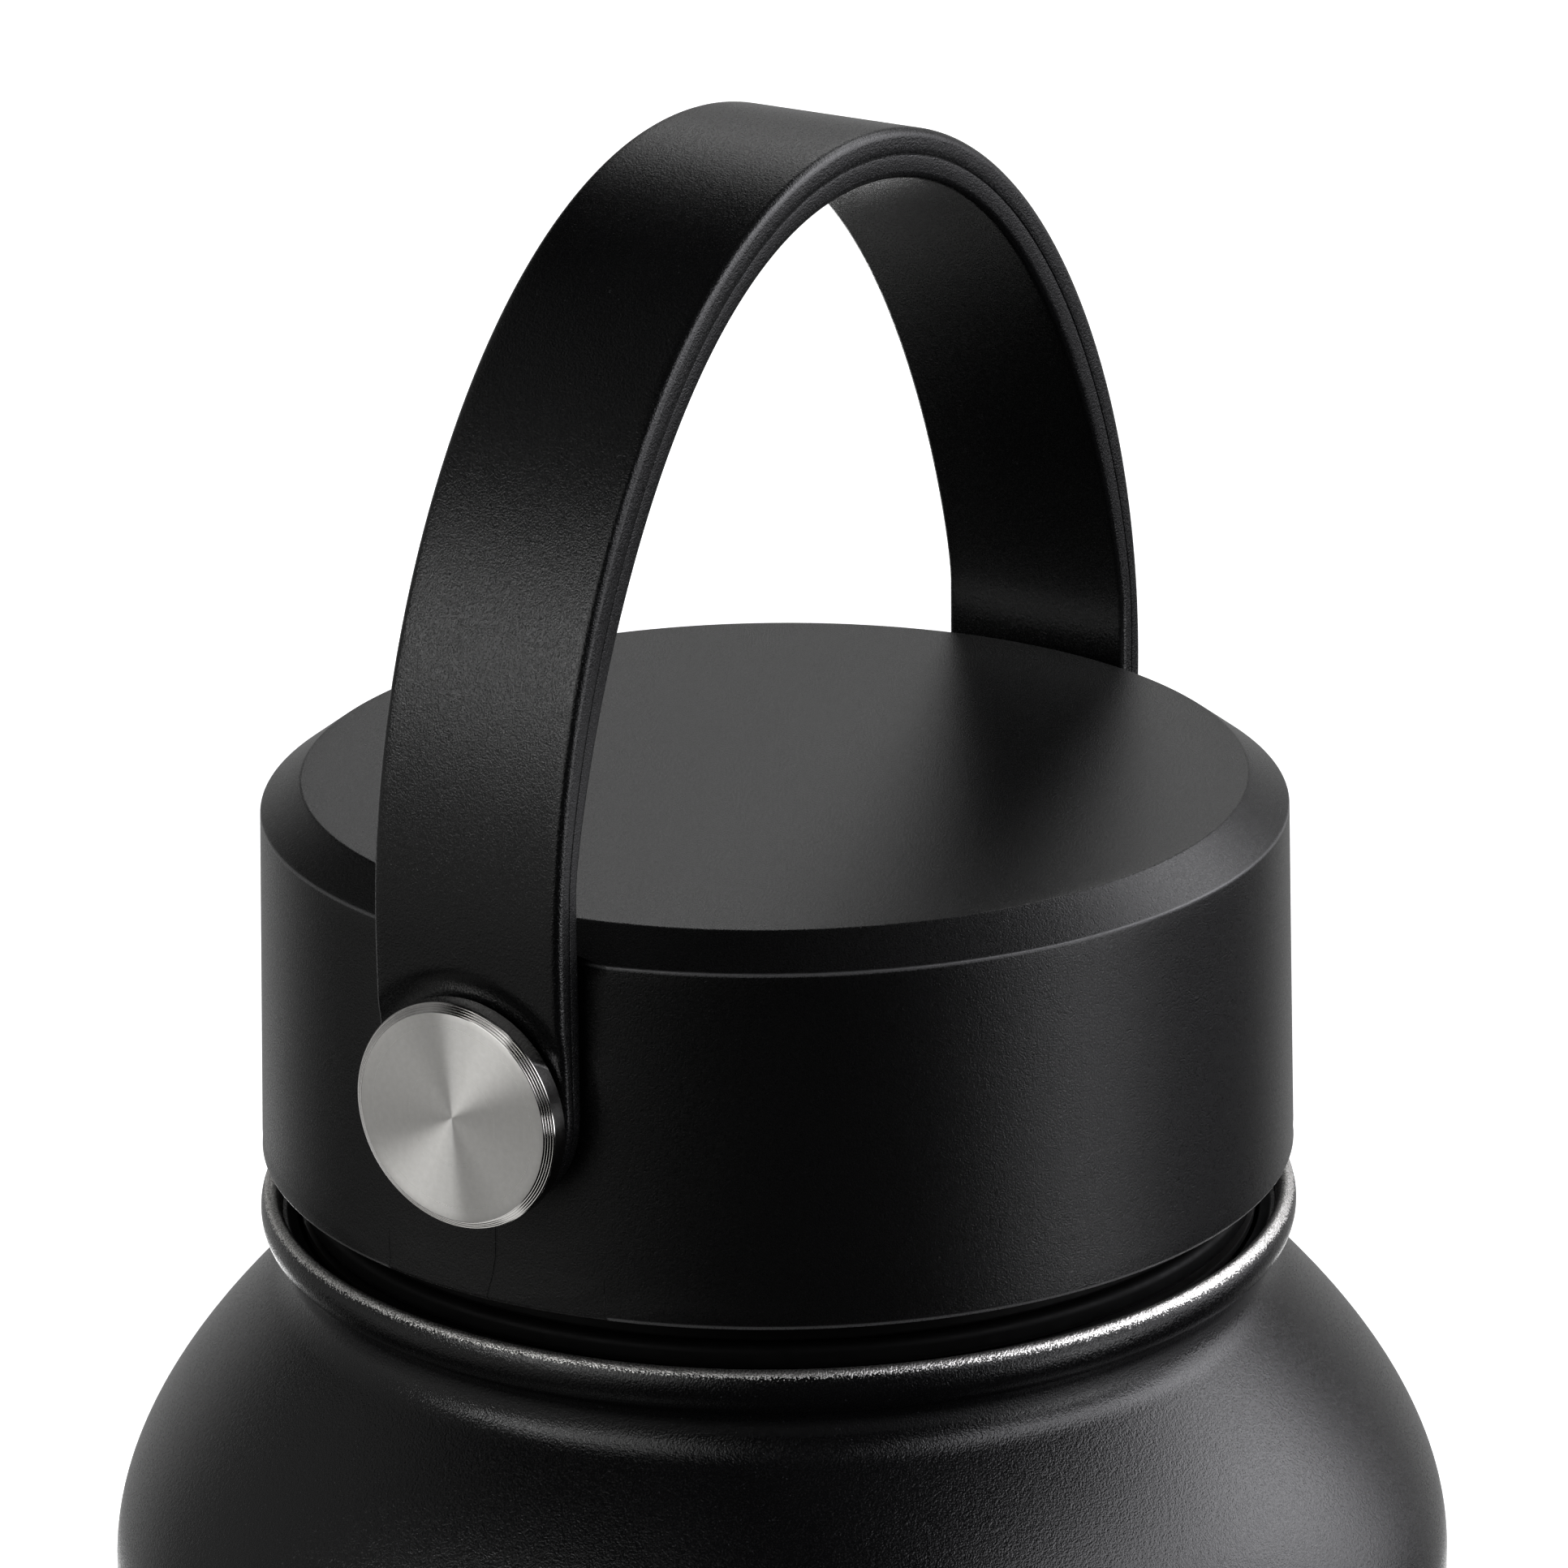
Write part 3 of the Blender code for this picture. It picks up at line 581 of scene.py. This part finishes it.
def bottle_base():
    """Base plate with a recessed centre, and the cover disc; the seal and getter sit above them."""
    r, t = 37.3, 0.6
    loop = [(r, 6.4), (r, 2.8)] + arc(r - 1.4, 2.8, 1.4, 1.0, 0, -90, 8)[1:]
    loop += fillet([(30.0, 1.8), (26.4, 1.8), (25.9, 2.8), (20.0, 2.8)], (0, 0.4, 0.4, 0), n=5)
    loop += [(1.6, 2.8), (1.6, 2.8 + t), (26.5, 2.8 + t), (27.0, 1.8 + t), (r - 1.6, 1.8 + t), (r - t, 3.2), (r - t, 6.4)]
    plate = lathe("base_plate_fine", loop, SEG, True, 40.0)
    dress(plate, BASE_STEEL)
    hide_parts("base_plate")
    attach(plate, "bottle")
    prof = [(0.0, 2.5)] + fillet([(24.0, 2.5), (25.15, 2.5), (25.5, 2.15), (24.9, 1.8), (23.5, 1.8)], (0, 0.2, 0.2, 0.3, 0), n=4)
    prof += [(12.0, 1.8), (11.8, 1.88), (11.6, 1.88), (11.4, 1.8), (0.0, 1.8)]
    cover = lathe("base_cover_fine", prof, SEG, False, 40.0)
    dress(cover, SPUN)
    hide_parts("base_cover")
    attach(cover, "bottle")
    return plate, cover


# =====================================================================================
# lid
# =====================================================================================
FLAT_FOOT = (23.0, 25.45)


def flat_x(z):
    """Distance of the flat from the axis at a height: tapered like the side, with a soft ramp at its foot."""
    d = H - z
    if d > FLAT_FOOT[1]:
        return 99.0
    x = 32.90 + 0.54 * (min(d, FLAT_FOOT[0]) - 1.99) / 21.31
    if d > FLAT_FOOT[0]:
        x += 1.15 * ((d - FLAT_FOOT[0]) / (FLAT_FOOT[1] - FLAT_FOOT[0])) ** 1.6
    return x


def shade_through(me):
    """The flats are so shallow that the side's sheen runs straight across them: give them the side's normals."""
    normals = [c.vector.copy() for c in me.corner_normals]
    slope = math.atan2(34.5 - 33.97, 25.45 - 1.99)
    for p in me.polygons:
        for li in p.loop_indices:
            v = me.vertices[me.loops[li].vertex_index].co / MM
            d = H - v.z
            if abs(v.x) < 32.6 or abs(v.y) > 9.6 or not 2.15 < d < 25.5:
                continue
            n = normals[li]
            if n.x * v.x < 0.6 * abs(v.x):
                continue
            side = Vector((v.x, v.y, 0.0)).normalized()
            side = Vector((side.x * math.cos(slope), side.y * math.cos(slope), math.sin(slope)))
            k = 0.05 if d > FLAT_FOOT[0] + 0.02 else 0.0
            normals[li] = (side * (1.0 - k) + n * k).normalized()
    me.normals_split_custom_set(normals)


def lid_cap():
    top = fillet([(28.0, H), (31.28, H), (33.97, H - 1.99), (34.235, H - 13.9), (34.5, H - 25.45), (34.28, H - 25.76),
                  (33.2, H - 25.76)], (0, 0.35, 0.22, 0, 0.12, 0.12, 0), n=6)
    side = []
    for i, p in enumerate(top):
        side.append(p)
        if i + 1 < len(top):
            q = top[i + 1]
            length = math.hypot(q[0] - p[0], q[1] - p[1])
            zz = 0.5 * (p[1] + q[1])
            step = 0.10 if H - 25.5 < zz < H - 22.8 else (0.3 if zz > H - 2.2 and p[0] > 31.0 else 1.2)
            k = int(length / step)
            for j in range(1, k + 1):
                t = j / (k + 1)
                side.append((p[0] + (q[0] - p[0]) * t, p[1] + (q[1] - p[1]) * t))
    n_pocket, n_arc = 26, 112

    def ring(r, z):
        """Points round the lid, with dense columns that end exactly where each flat runs out."""
        pts = []
        floor = flat_x(z)
        h = math.sqrt(max(r * r - floor * floor, 0.0)) if floor < 90 else 0.0
        if z > H - 12.0:
            h = max(h, 4.0 * r / 33.0)
        h = max(h, 1.0)
        e = math.asin(h / r)
        for s in (1, -1):
            ys = [h * (-1.0 + 2.0 * k / n_pocket) for k in range(n_pocket + 1)]
            cols = [(math.sqrt(r * r - yy * yy), yy, True) for yy in ys]
            for xx, yy, low in cols:
                if low and xx > floor:
                    xx = floor
                if s > 0:
                    pts.append((xx, yy))
                else:
                    pts.append((-xx, -yy))
            for k in range(1, n_arc):
                a = e + (math.pi - 2 * e) * k / n_arc
                if s < 0:
                    a += math.pi
                pts.append((r * math.cos(a), r * math.sin(a)))
        return pts

    bm = bmesh.new()
    rings = [[bm.verts.new((x * MM, y * MM, z * MM)) for x, y in ring(r, z)] for r, z in side]
    # inside: a plain wall up to the roof
    for r, z in ((32.25, H - 25.76), (32.2, H - 25.6), (32.2, H - 6.0), (31.3, H - 3.9), (29.2, H - 3.0)):
        m = len(rings[0])
        rings.append([bm.verts.new((r * MM * math.cos(math.atan2(v.co.y, v.co.x)),
                                    r * MM * math.sin(math.atan2(v.co.y, v.co.x)), z * MM)) for v in rings[0]])
    m = len(rings[0])
    for a, b in zip(rings, rings[1:]):
        for k in range(m):
            j = (k + 1) % m
            bm.faces.new((a[k], b[k], b[j], a[j]))
    bm.faces.new(rings[0])
    bm.faces.new(list(reversed(rings[-1])))
    bmesh.ops.remove_doubles(bm, verts=bm.verts, dist=0.000001)
    bmesh.ops.dissolve_degenerate(bm, edges=bm.edges, dist=0.0000005)
    bmesh.ops.recalc_face_normals(bm, faces=bm.faces)
    me = bpy.data.meshes.new("lid_cap")
    bm.to_mesh(me)
    bm.free()
    ob = new_object("lid_cap", me)
    smooth(me, 12.0)
    # bosses and bores for the pins, hidden by the strap's ends
    for s in (-1, 1):
        bpy.ops.mesh.primitive_cylinder_add(vertices=48, radius=5.6 * MM, depth=8.4 * MM,
                                            location=(s * 28.8 * MM, 0, PIN_Z * MM), rotation=(0, math.radians(90), 0))
        c = bpy.context.object
        md = ob.modifiers.new("boss", 'BOOLEAN')
        md.operation, md.object, md.solver = 'UNION', c, 'EXACT'
        apply_all(ob)
        bpy.data.objects.remove(c, do_unlink=True)
        for r, x0, x1 in ((4.1, 23.6, 31.0), (2.8, 30.5, 36.0)):
            bpy.ops.mesh.primitive_cylinder_add(vertices=48, radius=r * MM, depth=(x1 - x0) * MM,
                                                location=(s * 0.5 * (x0 + x1) * MM, 0, PIN_Z * MM),
                                                rotation=(0, math.radians(90), 0))
            c = bpy.context.object
            md = ob.modifiers.new("bore", 'BOOLEAN')
            md.operation, md.object, md.solver = 'DIFFERENCE', c, 'EXACT'
            apply_all(ob)
            bpy.data.objects.remove(c, do_unlink=True)
    smooth(ob.data, 12.0)
    shade_through(ob.data)
    dress(ob, CAPM)
    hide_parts("cap_shell")
    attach(ob, "lid")
    return ob


def apply_all(ob):
    bpy.context.view_layer.update()
    me = bpy.data.meshes.new_from_object(ob.evaluated_get(bpy.context.evaluated_depsgraph_get()))
    ob.modifiers.clear()
    ob.data = me


def lid_plug():
    z = H
    outer = fillet([(31.8, z - 24.2), (31.8, z - 27.6), (29.55, z - 27.6), (29.55, z - 29.8), (28.4, z - 30.4)],
                   (0, 0.25, 0.15, 0.1, 0), n=4)
    z0, z1 = z - 30.6, z - 47.2
    n = 84
    wall = [(28.4, z0 + (z1 - z0) * i / n) for i in range(n + 1)]
    foot = fillet([(28.4, z - 47.3), (28.38, z - 48.2), (26.8, z - 49.0), (20.0, z - 49.0)], (0, 0.8, 0.8, 0), n=6)[1:]
    recess = fillet([(20.0, z - 49.0), (19.4, z - 49.0), (18.8, z - 48.5), (0.0, z - 48.5)], (0, 0.3, 0.3, 0), n=4)[1:]
    inner = [(0.0, z - 46.8), (26.2, z - 46.8), (26.2, z - 26.4), (30.0, z - 24.2)]
    ob = lathe("lid_plug", inner + outer + wall + foot + recess, SEG, False, 40.0)
    with_thread(ob, 28.4, 1.15, 1.15, z - 43.0, 4.0, 1.75, False)
    dress(ob, GLOSS)
    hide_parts("threaded_plug")
    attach(ob, "lid")
    return ob


def gasket():
    z = H
    loop = fillet([(31.95, z - 27.92), (31.95, z - 29.58), (29.85, z - 29.58), (29.85, z - 27.92)], (0.55, 0.55, 0.4, 0.4), True, 8)
    ob = lathe("gasket", loop, SEG, True, 50.0)
    dress(ob, SEAL)
    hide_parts("lid_gasket")
    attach(ob, "lid_rise")
    return ob


# =====================================================================================
# handle
# =====================================================================================
STRAP_W = 14.15


def strap():
    """Moulded strap: rounded corners, a hair-thin parting line along each edge, and a shallow dish round each pin."""
    outer = bezier((36.2, -1.4), (36.2, 20.3), (21.3, 43.73), (0.0, 43.73), 90)
    inner = [(33.7, -30.0)] + bezier((33.7, 2.6), (33.7, 6.8), (24.9, 40.38), (0.0, 40.38), 240)
    pz = -12.08
    half_w = 0.5 * STRAP_W
    low = []
    z = pz - half_w + 0.02
    heights = [pz - half_w * math.cos(math.radians(t)) for t in (4, 10, 17, 25, 34, 43, 52, 61, 70, 80)]
    heights += [pz + 0.35 * k for k in range(0, 28)] + [-2.0]
    for zz in heights:
        t = min(1.0, max(0.0, (-1.4 - zz) / (-1.4 - pz)))
        low.append((36.2 - 0.25 * t * t, zz))
    outline = low + outer

    def partner(i):
        """The inner face's point across from an outer one, and the direction between them."""
        p = outline[i]
        if p[1] < -1.4:
            return (33.7, p[1])
        a, b = outline[max(i - 1, 0)], outline[min(i + 1, len(outline) - 1)]
        if i == len(outline) - 1:
            tx, tz = -1.0, 0.0
        else:
            tx, tz = b[0] - a[0], b[1] - a[1]
        n = math.hypot(tx, tz)
        nx, nz = -tz / n, tx / n                      # towards the inside
        best = None
        for q, w in zip(inner, inner[1:]):
            ex, ez = w[0] - q[0], w[1] - q[1]
            den = nx * ez - nz * ex
            if abs(den) < 1e-12:
                continue
            s = ((q[0] - p[0]) * ez - (q[1] - p[1]) * ex) / den
            u = ((q[0] - p[0]) * nz - (q[1] - p[1]) * nx) / den
            if -1e-6 <= u <= 1 + 1e-6 and 0.5 < s < 8.0 and (best is None or s < best):
                best = s
        if best is None:
            best = 3.35
        return (p[0] + nx * best, p[1] + nz * best)

    right = [(outline[i], partner(i)) for i in range(len(outline))]
    stations = right + [((-o[0], o[1]), (-q[0], q[1])) for o, q in reversed(right[:-1])]

    def section(width, thick):
        """Points round the section as (y, depth from the outer face)."""
        w = width
        ro, ri = min(0.62, 0.45 * w), min(0.5, 0.45 * w)
        g = 0.52 * thick
        pts = []
        n_w = 30
        for k in range(n_w + 1):                       # outer face
            y = (w - ro) * (-1 + 2 * k / n_w)
            pts.append((y, 0.0))
        edge = []
        for k in range(1, 8):                          # outer corner
            t = math.radians(90.0 * k / 7)
            edge.append((w - ro + ro * math.sin(t), ro - ro * math.cos(t)))
        edge += [(w, 0.5 * (ro + g)), (w, g - 0.10), (w - 0.012, g - 0.055), (w - 0.085, g - 0.02), (w - 0.085, g + 0.02),
                 (w - 0.03, g + 0.06), (w - 0.02, g + 0.14), (w - 0.02, 0.5 * (g + thick - ri))]
        for k in range(0, 8):                          # inner corner
            t = math.radians(90.0 * k / 7)
            edge.append((w - 0.02 - ri + ri * math.cos(t), thick - ri + ri * math.sin(t)))
        pts += edge
        n_i = 12
        for k in range(1, n_i):
            y = (w - 0.02 - ri) * (1 - 2 * k / n_i)
            pts.append((y, thick))
        pts += [(-y, d) for y, d in reversed(edge)]
        return pts

    bm = bmesh.new()
    rings = []
    for o, q in stations:
        ex, ez = q[0] - o[0], q[1] - o[1]
        thick = math.hypot(ex, ez)
        ex, ez = ex / thick, ez / thick
        dz = o[1] - pz
        w = half_w
        if dz < 0:
            w = math.sqrt(max(0.05, half_w * half_w - dz * dz))
        ring = []
        for y, d in section(w, thick):
            x, z = o[0] + ex * d, o[1] + ez * d
            # shallow dish for the pin's head, only on the outer face
            rho = math.hypot(y, z - pz)
            if rho < 9.4 and d < 0.5 * thick:
                f = min(1.0, max(0.0, (9.3 - rho) / 1.3))
                f = f * f * (3 - 2 * f)
                x -= math.copysign(0.30 * f * (1.0 - d / (0.5 * thick)), x)
            ring.append(bm.verts.new((x * MM, y * MM, (z + H) * MM)))
        rings.append(ring)
    m = len(rings[0])
    for a, b in zip(rings, rings[1:]):
        for k in range(m):
            j = (k + 1) % m
            bm.faces.new((a[k], a[j], b[j], b[k]))
    bm.faces.new(rings[0])
    bm.faces.new(list(reversed(rings[-1])))
    bmesh.ops.recalc_face_normals(bm, faces=bm.faces)
    me = bpy.data.meshes.new("strap")
    bm.to_mesh(me)
    bm.free()
    ob = new_object("strap", me)
    for s in (-1, 1):
        for r, x0, x1 in ((3.8, 32.0, 38.0), (6.2, 34.95, 38.0)):
            bpy.ops.mesh.primitive_cylinder_add(vertices=64, radius=r * MM, depth=(x1 - x0) * MM,
                                                location=(s * 0.5 * (x0 + x1) * MM, 0, PIN_Z * MM),
                                                rotation=(0, math.radians(90), 0))
            c = bpy.context.object
            md = ob.modifiers.new("bore", 'BOOLEAN')
            md.operation, md.object, md.solver = 'DIFFERENCE', c, 'EXACT'
            apply_all(ob)
            bpy.data.objects.remove(c, do_unlink=True)
    smooth(ob.data, 42.0)
    dress(ob, RUBBER)
    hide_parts("strap_handle")
    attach(ob, "handle")
    return ob


def pin(side, tag):
    """Pin with a spun face, a chamfer with fine tool steps, and a bright turned side."""
    x0, x1, r = 36.2, 38.0, 7.52
    off = 33.0
    ax, az_ = r - 0.6, x1 - off                       # chamfer from here to (r, az_ - 0.42), with four fine grooves
    nx, nz = 0.573, 0.819
    cham = []
    for t in (0.14, 0.36, 0.58, 0.80):
        for dt, deep in ((-0.05, 0.0), (0.0, 0.030), (0.05, 0.0)):
            q = t + dt
            cham.append((ax + 0.6 * q - nx * deep, az_ - 0.42 * q - nz * deep))
    face = [(0.0, az_), (2.0, az_), (4.5, az_), (6.5, az_), (ax - 0.03, az_), (ax, az_ - 0.004)]
    prof = face + cham + [(r - 0.02, x1 - off - 0.41), (r, x1 - off - 0.46), (r, x0 - off + 0.25), (r - 0.2, x0 - off), (2.5, x0 - off),
                          (2.5, 26.1 - off), (2.0, 25.6 - off), (0.0, 25.6 - off)]
    ob = lathe("pin_" + tag, prof, 256, False, 14.0)
    ob.data.materials.append(SPUN)
    ob.data.materials.append(RIM)
    for p in ob.data.polygons:
        rr = math.hypot(p.center.x, p.center.y) / MM
        p.material_index = 0 if (rr < r - 0.60 and p.normal.z > 0.9) else 1
    ob.matrix_world = (Matrix.Translation((side * off * MM, 0, PIN_Z * MM)) @ Matrix.Rotation(math.radians(90.0 * side), 4, 'Y'))
    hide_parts("pivot_pin_" + tag)
    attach(ob, "lid")
    return ob


bottle_body()
bottle_liner()
liner_floor()
bottle_base()
lid_cap()
lid_plug()
gasket()
strap()
PINS = {}
for _side, _tag in ((-1, "left"), (1, "right")):
    PINS[_side] = pin(_side, _tag)
    dress(frame["nodes"]["pin_insert_" + _tag], BRASS)
    dress(frame["nodes"]["spring_washer_" + _tag], DRAWN)
    dress(frame["nodes"]["strap_bush_" + _tag], ACETAL)
dress(frame["nodes"]["foam_core"], FOAM)
dress(frame["nodes"]["getter"], GETTER)
dress(frame["nodes"]["vacuum_seal_plug"], SOLDER)

# =====================================================================================
# studio: pale floor and surround for the camera, soft light for the object
# =====================================================================================
THETA = math.radians(32.548)
FWD = Vector((math.cos(THETA), math.sin(THETA), 0.0))
RIGHT = Vector((math.sin(THETA), -math.cos(THETA), 0.0))


def toward(az, el):
    """Unit vector.  az 0 is straight behind the object, positive to the camera's right."""
    a, e = math.radians(az), math.radians(el)
    return (FWD * math.cos(a) + RIGHT * math.sin(a)) * math.cos(e) + Vector((0, 0, math.sin(e)))


def stage_floor():
    bpy.ops.mesh.primitive_circle_add(vertices=128, radius=5.0, fill_type='NGON', location=(0, 0, -0.0002))
    ob = bpy.context.object
    ob.name = "studio_floor"
    m, g, b = material("studio_floor_white", rgb(0.82), 0.7)
    co = obj_coords(g)
    n = g.noise(co, 6.0, 2.0)
    g.put(b.inputs["Base Color"], g.mix(n, rgb(0.80), rgb(0.84)))
    b.inputs["Emission Color"].default_value = rgb(1.0)
    b.inputs["Emission Strength"].default_value = 0.86
    dress(ob, m)
    ob.visible_glossy = False
    ob.visible_diffuse = False
    ob.visible_shadow = False
    ob.visible_transmission = False
    bpy.ops.mesh.primitive_uv_sphere_add(segments=64, ring_count=32, radius=5.0, location=(0, 0, 0))
    dome = bpy.context.object
    dome.name = "studio_surround"
    m, g, b = material("studio_surround_white", rgb(0.0), 1.0)
    b.inputs["Emission Color"].default_value = rgb(0.93)
    b.inputs["Emission Strength"].default_value = 1.0
    dress(dome, m)
    dome.data.shade_smooth()
    dome.visible_glossy = False
    dome.visible_diffuse = False
    dome.visible_shadow = False
    dome.visible_transmission = False


# Soft lights round the object: azimuth and elevation of the middle, half width, half height, softness
# of the rim (all in degrees), brightness and tint.
LIGHTS = (
    (97.0, 28.0, 40.0, 11.0, 11.0, 3.9, (0.99, 0.985, 1.03)),      # large box, upper right
    (72.5, 8.7, 18.0, 17.0, 6.4, 2.4, (0.99, 0.985, 1.03)),        # strip, right
    (111.0, -10.0, 13.5, 6.0, 3.0, 4.2, (0.99, 0.99, 1.02)),       # reflector card, right and low
    (-116.0, 18.0, 6.0, 5.5, 2.5, 9.0, (1.0, 1.0, 1.0)),           # small head, left
    (-140.0, 20.0, 16.0, 19.0, 2.5, 1.45, (1.0, 1.0, 1.0)),        # tall box, left and in front
    (-112.0, -14.0, 30.0, 12.0, 10.0, 0.27, (1.0, 0.99, 0.975)),   # table top, left
    (-70.0, -72.0, 80.0, 16.0, 8.0, 0.9, (1.0, 1.0, 0.99)),        # table top, below
    (-3.0, -12.0, 42.0, 26.0, 9.0, 0.40, (1.0, 1.0, 1.0)),         # white sweep behind
    (-3.0, -30.0, 21.0, 4.5, 4.0, 6.0, (1.0, 1.0, 1.0)),           # table top behind
    (3.7, 33.5, 13.0, 9.0, 4.0, 1.7, (1.0, 1.0, 1.0)),             # glow on the sweep
    (45.0, 39.0, 12.0, 11.0, 4.0, 3.6, (0.99, 0.99, 1.02)),        # ceiling bounce
    (-75.0, 15.0, 24.0, 32.0, 8.0, 0.225, (1.0, 1.0, 1.0)),        # wall, left
)


def world():
    w = bpy.data.worlds.new("studio")
    bpy.context.scene.world = w
    w.use_nodes = True
    g = Graph(w.node_tree)
    out = g.add("ShaderNodeOutputWorld")
    bg = g.add("ShaderNodeBackground")
    g.t.links.new(bg.outputs[0], out.inputs[0])
    d = g.add("ShaderNodeTexCoord").outputs["Generated"]
    ahead = g.vmath("DOT_PRODUCT", d, tuple(FWD))
    aside = g.vmath("DOT_PRODUCT", d, tuple(RIGHT))
    az = g.math("DEGREES", g.math("ARCTAN2", aside, ahead))
    el = g.math("DEGREES", g.math("ARCSINE", g.sep(d)[2]))
    total = None
    for a0, e0, wa, we, so, power, tint in LIGHTS:
        da = g.math("ABSOLUTE", g.math("WRAP", g.math("SUBTRACT", az, a0), 180.0, -180.0))
        de = g.math("ABSOLUTE", g.math("SUBTRACT", el, e0))
        v = g.math("MULTIPLY", g.ramp(da, wa - so, wa + so, 1.0, 0.0), g.ramp(de, we - so, we + so, 1.0, 0.0))
        n = g.add("ShaderNodeVectorMath", operation="SCALE")
        n.inputs[0].default_value = [c * power for c in tint]
        g.put(n.inputs["Scale"], v)
        total = n.outputs[0] if total is None else g.vmath("ADD", total, n.outputs[0])
    total = g.vmath("ADD", total, (0.004, 0.004, 0.004))
    g.put(bg.inputs["Color"], total)
    bg.inputs["Strength"].default_value = 1.0
    return w


def pin_light(name, side, az, el, w, h, radiance):
    """A small card that lights only one pin."""
    la = bpy.data.lights.new(name, 'AREA')
    la.shape = 'RECTANGLE'
    la.size, la.size_y = w, h
    la.energy = radiance * math.pi * w * h
    la.color = (1.0, 0.992, 0.975)
    ob = bpy.data.objects.new(name, la)
    bpy.context.scene.collection.objects.link(ob)
    target = Vector((side * 0.038, 0, PIN_Z * MM))
    ob.location = target + toward(az, el) * 1.2
    ob.rotation_euler = (target - ob.location).to_track_quat('-Z', 'Y').to_euler()
    ob.visible_camera = False
    only = bpy.data.collections.new(name + "_receivers")
    only.objects.link(PINS[side])
    ob.light_linking.receiver_collection = only
    return ob


stage_floor()
world()
pin_light("pin_card", -1, -110, -18, 0.42, 0.30, 0.66)
pin_light("pin_fan_card", -1, -136, 6, 0.73, 0.50, 1.9)

# =====================================================================================
# camera
# =====================================================================================
CAM = Vector((-429.866, -275.098, H + 174.544)) * MM
ELEV = math.radians(18.995)
ROLL = math.radians(0.547)
f = (FWD * math.cos(ELEV) + Vector((0, 0, -math.sin(ELEV)))).normalized()
r_ = RIGHT.copy()
u_ = r_.cross(f)
right = r_ * math.cos(ROLL) - u_ * math.sin(ROLL)
up = r_ * math.sin(ROLL) + u_ * math.cos(ROLL)
cam = bpy.data.cameras.new("camera")
cam.lens = 187.57
cam.sensor_width = 36.0
cam.sensor_fit = 'HORIZONTAL'
cam.clip_start, cam.clip_end = 0.02, 20.0
cam_ob = bpy.data.objects.new("camera", cam)
bpy.context.scene.collection.objects.link(cam_ob)
rot = Matrix((right, up, -f)).transposed().to_4x4()
cam_ob.matrix_world = Matrix.Translation(CAM) @ rot
bpy.context.scene.camera = cam_ob
bpy.context.scene.view_settings.view_transform = 'Standard'
